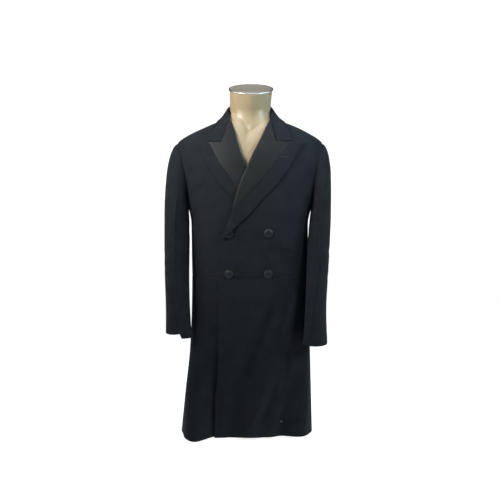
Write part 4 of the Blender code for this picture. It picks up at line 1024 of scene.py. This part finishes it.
def sleeveCreaseOut(side, turn, z):
    total = np.zeros_like(z)
    for turn0, z0, turn1, z1, out, wide in sleeveCreases[side]:
        x0, x1 = (math.radians(turn) * sleeve["radius"] for turn in (turn0, turn1))
        way, aside = alongLine(turn * sleeve["radius"], z, x0, z0, x1, z1)
        aside = aside - sleeve["bow"] * 4 * way * (1 - way)
        ends = smooth(-0.15, 0.30, way) * (1 - smooth(0.70, 1.15, way))
        total += out * ends * np.exp(-((aside / wide) ** 2))
    return total * (1 - 0.6 * smooth(math.radians(55), math.radians(80), turn))


def makeSleeves():
    gap = cloth["gap"] / 2 / sleeve["radius"]
    perTurn, tall = sleeve["perTurn"], sleeve["long"]
    for name, side, table in (("left", 1, leftSleeve), ("right", -1, rightSleeve)):
        fore, hind = math.radians(sleeve["foreSeam"]), math.radians(sleeve["hindSeam"])
        for part, first, last, count in (("top", fore + gap, hind - gap, 74),
                                         ("under", hind + gap, 2 * math.pi + fore - gap, 38)):
            long = (last - first) * perTurn
            turn = mix(first, last, closeAtEdges(0, long, count) / long)[None, :]
            v = closeAtEdges(0, tall, 165)[:, None] / tall
            turn, v = np.broadcast_arrays(turn, v)
            outer = sleevePoints(table, side, turn, v)
            normal = gridNormals(outer, side < 0)
            dip = edgeDip((turn - first) * perTurn, True) + edgeDip((last - turn) * perTurn, True)
            dip = dip + edgeDip(v * tall, False) + edgeDip((1 - v) * tall, True)
            # the cuff's edge and the armhole keep their place
            out = sleeveCreaseOut(side, turn, outer[..., 2]) * smooth(0, 0.08, v) * (1 - smooth(0.9, 1, v))
            fold = ((turn + math.pi) % (2 * math.pi) - math.pi) * sleeve["radius"] / sleeve["creaseWide"]
            out = out + sleeve["crease"] * np.exp(-fold ** 2) * smooth(0, 0.04, v) * (1 - smooth(0.70, 0.86, v))
            inner = outer + normal * (out - cloth["thick"])[..., None]
            outer = outer + normal * (out - dip)[..., None]
            weave = np.stack([turn * perTurn, v * tall], -1)
            piece = shell(f"{name}_{part}_sleeve", outer, inner, looks["wool"], side < 0, weave)
            place(piece, "wool", f"{part}_sleeve_{name}")


# Buttons

def turnedMesh(profile, sides, lobes=0, depth=0.0):
    # a turned shape; lobes gather the cloth round its edge
    turn = np.linspace(0, 2 * math.pi, sides, endpoint=False)
    points, faces = [(0, 0, profile[0][1])], []
    for r, h in profile[1:]:
        ripple = 1 + depth * np.cos(lobes * turn) * (r / profile[-1][0] if profile[-1][0] else 1)
        points += [(r * k * math.cos(t), r * k * math.sin(t), h) for t, k in zip(turn, np.atleast_1d(ripple))]
    for j in range(sides):
        faces.append((0, 1 + j, 1 + (j + 1) % sides))
    for i in range(len(profile) - 2):
        for j in range(sides):
            a, b = 1 + i * sides + j, 1 + i * sides + (j + 1) % sides
            faces.append((a, a + sides, b + sides, b))
    return points, faces


button = {
    "dome": 0.30, "shank": 0.16,    # as shares of the radius
    "rim": 0.0008,                  # height of the rim under the dome
    "front": 0.0128, "back": 0.0110, "cuff": 0.0072,
    "backPlace": (0.0415, 0.479), "cuffUp": (0.038, 0.057, 0.076), "cuffTurn": 170,
}


def makeButton(name, node, radius, away, sides=40):
    low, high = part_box(node)
    shank, dome, rim = button["shank"] * radius, button["dome"] * radius, button["rim"]
    arc = [(radius * math.sin(t), shank + rim + dome * math.cos(t)) for t in np.linspace(0, 1.45, 10)]
    profile = arc + [(radius * 1.005, shank + rim), (radius, shank + 0.0003), (0.93 * radius, shank - 0.0002),
                     (0.70 * radius, shank - 0.0004), (0.0030, shank), (0.0026, 0)]
    points, faces = turnedMesh(profile, sides)
    turn = Vector((0, 0, 1)).rotation_difference(Vector(away)).to_matrix()
    middle = (low + high) / 2
    tall = shank + dome + rim
    seat = middle - Vector(away) * tall / 2
    placed = [seat + turn @ Vector(p) for p in points]
    piece = makeObject(name, [tuple(p) for p in placed], faces, looks["button"])
    return place(piece, "button", node)


def makeButtons():
    for number, (x, z) in enumerate(frontButtons, 1):
        spot = skin(angleAtX(x, z), z)
        makeButton(f"button_front_{number}", f"front_button_{number}", button["front"], skinNormal(*spot))
    for name, side in (("left", 1), ("right", -1)):
        x, z = button["backPlace"]
        spot = skin(angleAtX(side * x, z, back=True), z)
        makeButton(f"button_back_{name}", f"back_button_{name}", button["back"], skinNormal(*spot))
        table = leftSleeve if side > 0 else rightSleeve
        for number, up in enumerate(button["cuffUp"], 1):
            z, turn = table["z"][-1] + up, math.radians(button["cuffTurn"])
            here = sleeveRing(table, side, z, turn)
            across = sleeveRing(table, side, z, turn + 0.02) - here
            rise = sleeveRing(table, side, z + 0.001, turn) - here
            away = np.cross(across, rise) * side
            makeButton(f"button_cuff_{name}_{number}", f"cuff_button_{name}_{number}", button["cuff"],
                       away / np.linalg.norm(away), 28)


buttonhole = {
    "lapels": ((1, 0.1000, 0.8525, 0.0052), (-1, -0.1135, 0.8525, 0.0052)),     # side, x, z, out
    "front": ((1, -0.0500, 0.6260, 0.0002), (1, -0.0490, 0.5050, 0.0002)),
    "long": 0.022, "lip": 0.0010, "thread": 0.0007, "stitches": 44,
}


def makeButtonholes():
    spots = [("lapel", *spot) for spot in buttonhole["lapels"]]
    spots += [("front", *spot) for spot in buttonhole["front"]]
    for number, (kind, side, x, z, out) in enumerate(spots, 1):
        # a ring of worked stitches round the slit, thick and thin by turns
        half, lip, steps, rim = buttonhole["long"] / 2, buttonhole["lip"], 176, 8
        way = np.linspace(0, 1, steps, endpoint=False)
        lengths = np.array([0, 2 * half, 2 * half + math.pi * lip, 4 * half + math.pi * lip,
                            4 * half + 2 * math.pi * lip])
        at = way * lengths[-1]
        bend1 = np.clip((at - lengths[1]) / (math.pi * lip), 0, 1) * math.pi
        bend2 = np.clip((at - lengths[3]) / (math.pi * lip), 0, 1) * math.pi
        across = np.where(at < lengths[1], at - half, np.where(at < lengths[2], half,
                          np.where(at < lengths[3], half - (at - lengths[2]), -half)))
        lean = math.pi / 2 - bend1 - bend2
        normal = np.stack([np.cos(lean), np.sin(lean)], -1)
        middle = np.stack([across, 0 * across], -1) + normal * lip
        thick = buttonhole["thread"] * (1 + 0.28 * np.cos(2 * math.pi * buttonhole["stitches"] * way))
        turn = np.linspace(0, 2 * math.pi, rim, endpoint=False)
        wide = thick[:, None] * np.cos(turn)
        flat = middle[:, None, :] + normal[:, None, :] * wide[..., None] + (x, z)
        height = out + thick[:, None] * np.sin(turn)
        points = onFront(flat, side, height, kind == "lapel")
        index = np.arange(steps * rim).reshape(steps, rim)
        after, above = np.roll(index, -1, 0), np.roll(index, -1, 1)
        face = np.stack([index, above, np.roll(after, -1, 1), after], -1).reshape(-1, 4)
        if side < 0:
            face = face[:, ::-1]
        piece = makeObject(f"{kind}_buttonhole_{number}", points.reshape(-1, 3), face.tolist(), looks["thread"])
        place(piece, "thread")


# Dress form

form = {"bottom": 0.300, "neckWide": 0.0622, "neckFlare": 0.0036, "neckTop": (0.003, -0.012, 1.060),
        "lean": 18, "capThick": 0.0050, "capRim": 0.0028, "sides": 180}
formGap = {"z": (0.300, 0.420, 0.600, 0.760, 0.870, 0.8975, 0.950, 0.968, 0.985),
           "gap": (0.026, 0.020, 0.012, 0.009, 0.0060, 0.0040, 0.0018, 0.0018, 0.0020)}


def neckRing(height, turn):
    base, top = Vector((0, 0.006, 0.985)), Vector(form["neckTop"])
    middle = base.lerp(top, height)
    wide = form["neckWide"] + form["neckFlare"] * height ** 2
    lean = Matrix.Rotation(math.radians(form["lean"]) * height, 3, "X")
    made = []
    for t in turn:
        s, c = math.sin(t), math.cos(t)
        prow = 1 + 0.05 * max(c, 0) ** 3
        made.append(middle + lean @ Vector((wide * s, -0.056 * c * prow, 0)))
    return np.array([tuple(p) for p in made])


# soft modelling of the neck as seen from the front: from x, z, to x, z, out, half width
neckModelling = (
    (0.0360, 0.9600, 0.0010, 0.9310, -0.0016, 0.0065),    # the neck's foot
    (-0.0380, 0.9860, -0.0060, 0.9320, -0.0016, 0.0070),
    (-0.0100, 0.9300, -0.0130, 0.8650, -0.0030, 0.0055),  # hollow below the throat
    (0.0080, 0.9200, -0.0030, 0.8750, 0.0020, 0.0060),
    (-0.0500, 1.040, -0.0250, 0.960, 0.0018, 0.0080),     # cords at the sides
    (0.0500, 1.040, 0.0300, 0.975, 0.0018, 0.0080),
)


throatEnd = {"low": 0.934, "leftRise": 0.71, "rightRise": 1.47, "middle": 0.004, "wide": 0.034,
             "deep": 0.0060}
throat = {"z":    (0.890, 0.905, 0.920, 0.935, 0.950, 0.965, 0.985, 1.010),
          "deep": (0.000, 0.002, 0.006, 0.0115, 0.0105, 0.0070, 0.0030, 0.000),
          "wide": (0.010, 0.010, 0.012, 0.014, 0.024, 0.034, 0.050, 0.060)}


def modelNeck(points):
    x, y, z = np.moveaxis(points, -1, 0)
    total = np.zeros_like(x)
    for x0, z0, x1, z1, out, wide in neckModelling:
        way, aside = alongLine(x, z, x0, z0, x1, z1)
        ends = smooth(-0.20, 0.20, way) * (1 - smooth(0.80, 1.20, way))
        total += out * ends * smooth(0.010, 0.035, -y) * np.exp(-((aside / wide) ** 2))
    # the neck runs down to the pit of the throat
    deep = np.interp(z, throat["z"], throat["deep"])
    wide = np.interp(z, throat["z"], throat["wide"])
    total -= deep * np.exp(-((x / wide) ** 2)) * smooth(0.010, 0.035, -y)
    # the throat's two flat sides meet in a soft edge and end in a V
    foot = throatEnd["low"] + np.where(x > 0, throatEnd["leftRise"], throatEnd["rightRise"]) * np.abs(x)
    sides = np.clip(1 - np.sqrt((x - throatEnd["middle"]) ** 2 + 0.000004) / throatEnd["wide"], 0, 1)
    total += throatEnd["deep"] * sides * smooth(foot - 0.005, foot + 0.005, z) * smooth(0.010, 0.035, -y)
    total *= 1 - smooth(form["neckTop"][2] - 0.020, form["neckTop"][2] - 0.004, z)
    away = np.stack([x, y - 0.006, 0 * z], -1)
    return points + away / np.linalg.norm(away, axis=-1, keepdims=True) * total[..., None]


def ringFaces(count, sides):
    return [(i * sides + j, i * sides + (j + 1) % sides, (i + 1) * sides + (j + 1) % sides, (i + 1) * sides + j)
            for i in range(count - 1) for j in range(sides)]


def makeForm():
    turn = np.linspace(0, 2 * math.pi, form["sides"], endpoint=False)
    angle = np.where(turn > math.pi, turn - 2 * math.pi, turn)
    bottom = skin(angle, form["bottom"], -0.026, (), False)
    rings = [bottom * (share, share, 0) + (0, 0, form["bottom"] - drop) for share, drop in
             ((0.45, 0.006), (0.80, 0.0055), (0.92, 0.004), (0.975, 0.002))]
    for z in list(np.linspace(form["bottom"], 0.850, 46)) + list(np.linspace(0.853, 0.985, 45)):
        rings.append(skin(angle, z, -cloth["thick"] - readTable(formGap, "gap", z), (), False))
    for height in np.linspace(0.06, 1, 32):
        rings.append(neckRing(height, turn))
    count, sides = len(rings), form["sides"]
    # the neck grows softly out of the chest where it shows
    rings = np.array(rings)
    x, y, z = np.moveaxis(rings, -1, 0)
    seen = smooth(0.010, 0.030, -y) * (1 - smooth(0.034, 0.050, np.abs(x)))
    seen = (seen * smooth(0.900, 0.930, z) * (1 - smooth(1.030, 1.050, z)))[1:-1, :, None]
    for _ in range(90):
        even = (rings[:-2] + 2 * rings[1:-1] + rings[2:]) / 4
        rings[1:-1] = mix(rings[1:-1], even, seen)
    rings = modelNeck(rings)
    points = np.concatenate(rings)
    faces = ringFaces(count, sides)
    faces.append(tuple(reversed(range(sides))))
    faces.append(tuple(range((count - 1) * sides, count * sides)))
    place(makeObject("form_shell", points, faces, looks["shell"], sharp=60), "shell", "form_torso")
    makeCap(turn)


def makeCap(turn):
    tilt = Matrix.Rotation(math.radians(form["lean"]), 3, "X")
    up = np.array(tilt @ Vector((0, 0, 1)))
    top = neckRing(1, turn)
    centre = top.mean(0)
    spoke = top - centre
    spoke /= np.linalg.norm(spoke, axis=1, keepdims=True)
    thick, rim = form["capThick"], form["capRim"]
    arc = [(thick * (0.56 - 0.44 * math.cos(t)), rim - 0.0021 + 0.0021 * math.sin(t))
           for t in np.linspace(0, math.pi, 15)]
    rows = [(0.0, -0.0012), (0.0007, -0.0012)] + arc
    rows += [(thick - 0.0002, rim - 0.0034), (thick - 0.0006, rim - 0.0046)]
    sides = len(turn)
    points = np.concatenate([top + spoke * grow + up * lift for lift, grow in rows])
    faces = ringFaces(len(rows), sides)
    faces.append(tuple(reversed(range(sides))))
    faces.append(tuple(range((len(rows) - 1) * sides, len(rows) * sides)))
    cap = makeObject("cap_rim", points, faces, looks["rim"])
    place(cap, "rim", "neck_cap")
    lift, grow = thick - 0.0004, rim - 0.0040
    disc = np.concatenate([top + spoke * (grow + 0.0008) + up * (thick - 0.0008), top + spoke * grow + up * lift])
    faces = ringFaces(2, sides)
    faces += [tuple(range(sides, 2 * sides)), tuple(reversed(range(sides)))]
    place(makeObject("cap_top", disc, faces, looks["top"]), "top")


def finishStand():
    for node in ("form_pole", "form_foot"):
        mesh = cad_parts[node].data
        mesh.materials.clear()
        mesh.materials.append(looks["stand"])


# Stage, light and camera

studio = {
    "target": (0, 0, 0.569), "camera": (0, -3.4915, 0.8131), "lens": 81.3,
    "floorFrom": -0.80, "floorEase": 0.35, "floorGlow": 0.95,
    "floorWedge": (-0.24, -0.86),       # how the glow widens to the back, and its half width
    "wallFrom": 0.925, "wall": (1.15, 1.15, 1.15), "room": (0.05, 0.06, 0.08),
    "lights": (
        # name, place, size, power, colour, aimed at, spread
        ("left_high", (-1.5, -1.3, 1.9), 0.8, 3.9, (1.00, 0.97, 0.92), (-0.05, 0, 0.96), 30),
        ("right_high", (1.6, -1.1, 1.8), 0.8, 2.3, (0.70, 0.95, 1.00), (0.05, 0, 0.92), 34),
        ("top", (0.0, -0.5, 2.5), 1.0, 4.2, (0.80, 0.84, 1.00), (0, 0, 0.80), 90),
        ("left_fill", (-2.2, -0.4, 1.5), 1.0, 2.6, (0.98, 1.00, 0.92), (0, 0, 0.85), 50),
        ("right_fill", (2.2, -0.3, 1.2), 1.0, 5.2, (0.82, 0.93, 1.00), (0, 0, 0.65), 70),
    ),
}


def makeStage():
    # a pale floor that glows softly round the form and behind it, as on a light table
    floorLook, tree, shader = newMaterial("floor", (0.85, 0.85, 0.85), Roughness=0.9)
    shader.inputs["Emission Color"].default_value = (1, 1, 1, 1)
    space = addNode(tree, "ShaderNodeTexCoord")
    split = addNode(tree, "ShaderNodeSeparateXYZ")
    ease = addNode(tree, "ShaderNodeMapRange", {
        "From Min": studio["floorFrom"] - studio["floorEase"], "From Max": studio["floorFrom"],
        "To Min": 0.0, "To Max": studio["floorGlow"]}, interpolation_type="SMOOTHSTEP")
    side = addNode(tree, "ShaderNodeMath", operation="ABSOLUTE")
    wide = addNode(tree, "ShaderNodeMath", operation="MULTIPLY_ADD")
    wide.inputs[1].default_value, wide.inputs[2].default_value = studio["floorWedge"]
    past = addNode(tree, "ShaderNodeMath", operation="ADD")
    fade = addNode(tree, "ShaderNodeMapRange", {"From Min": 0.0, "From Max": 0.4, "To Min": 1.0, "To Max": 0.0},
                   interpolation_type="SMOOTHSTEP")
    both = addNode(tree, "ShaderNodeMath", operation="MULTIPLY")
    tree.links.new(space.outputs["Object"], split.inputs["Vector"])
    tree.links.new(split.outputs["Y"], ease.inputs["Value"])
    tree.links.new(split.outputs["X"], side.inputs[0])
    tree.links.new(split.outputs["Y"], wide.inputs[0])
    tree.links.new(side.outputs["Value"], past.inputs[0])
    tree.links.new(wide.outputs["Value"], past.inputs[1])
    tree.links.new(past.outputs["Value"], fade.inputs["Value"])
    tree.links.new(ease.outputs["Result"], both.inputs[0])
    tree.links.new(fade.outputs["Result"], both.inputs[1])
    tree.links.new(both.outputs["Value"], shader.inputs["Emission Strength"])
    points = [(-8, -8, 0), (8, -8, 0), (8, 8, 0), (-8, 8, 0)]
    makeObject("floor", points, [(0, 1, 2, 3)], floorLook)
    # a white wall of light behind, dim surroundings in front
    world = bpy.data.worlds.new("studio")
    bpy.context.scene.world = world
    world.use_nodes = True
    tree = world.node_tree
    back = tree.nodes["Background"]
    space = addNode(tree, "ShaderNodeTexCoord")
    split = addNode(tree, "ShaderNodeSeparateXYZ")
    wall = addNode(tree, "ShaderNodeMapRange", {
        "From Min": studio["wallFrom"], "From Max": studio["wallFrom"] + 0.035,
        "To Min": 0.0, "To Max": 1.0}, interpolation_type="SMOOTHSTEP")
    blend = addNode(tree, "ShaderNodeMix", data_type="RGBA")
    blend.inputs[6].default_value = (*studio["room"], 1)
    blend.inputs[7].default_value = (*studio["wall"], 1)
    tree.links.new(space.outputs["Generated"], split.inputs["Vector"])
    tree.links.new(split.outputs["Y"], wall.inputs["Value"])
    tree.links.new(wall.outputs["Result"], blend.inputs[0])
    tree.links.new(blend.outputs[2], back.inputs["Color"])
    back.inputs["Strength"].default_value = 1.0


def makeLight(name, at, size, power, colour, target, beam):
    light = bpy.data.lights.new(name, "AREA")
    light.shape, light.size, light.energy, light.color = "DISK", size, power, colour
    light.spread = math.radians(beam)
    lamp = bpy.data.objects.new(name, light)
    lamp.location = at
    lamp.rotation_euler = (Vector(target) - Vector(at)).to_track_quat("-Z", "Y").to_euler()
    bpy.context.scene.collection.objects.link(lamp)


def makeCamera():
    data = bpy.data.cameras.new("camera")
    data.lens, data.sensor_width = studio["lens"], 36
    camera = bpy.data.objects.new("camera", data)
    camera.location = studio["camera"]
    aim = Vector(studio["target"]) - Vector(studio["camera"])
    camera.rotation_euler = aim.to_track_quat("-Z", "Y").to_euler()
    bpy.context.scene.collection.objects.link(camera)
    bpy.context.scene.camera = camera


makeCamera()
makeStage()
for light in studio["lights"]:
    makeLight(*light)
makeFronts()
print("fronts made")
makeSides()
makeBacks()
print("sides and backs made")
makeSkirts()
print("skirts made")
makeLapels()
makeCollar()
print("lapels and collar made")
makeSleeves()
print("sleeves made")
makeButtons()
makeButtonholes()
makeForm()
finishStand()
print("buttons and form made")
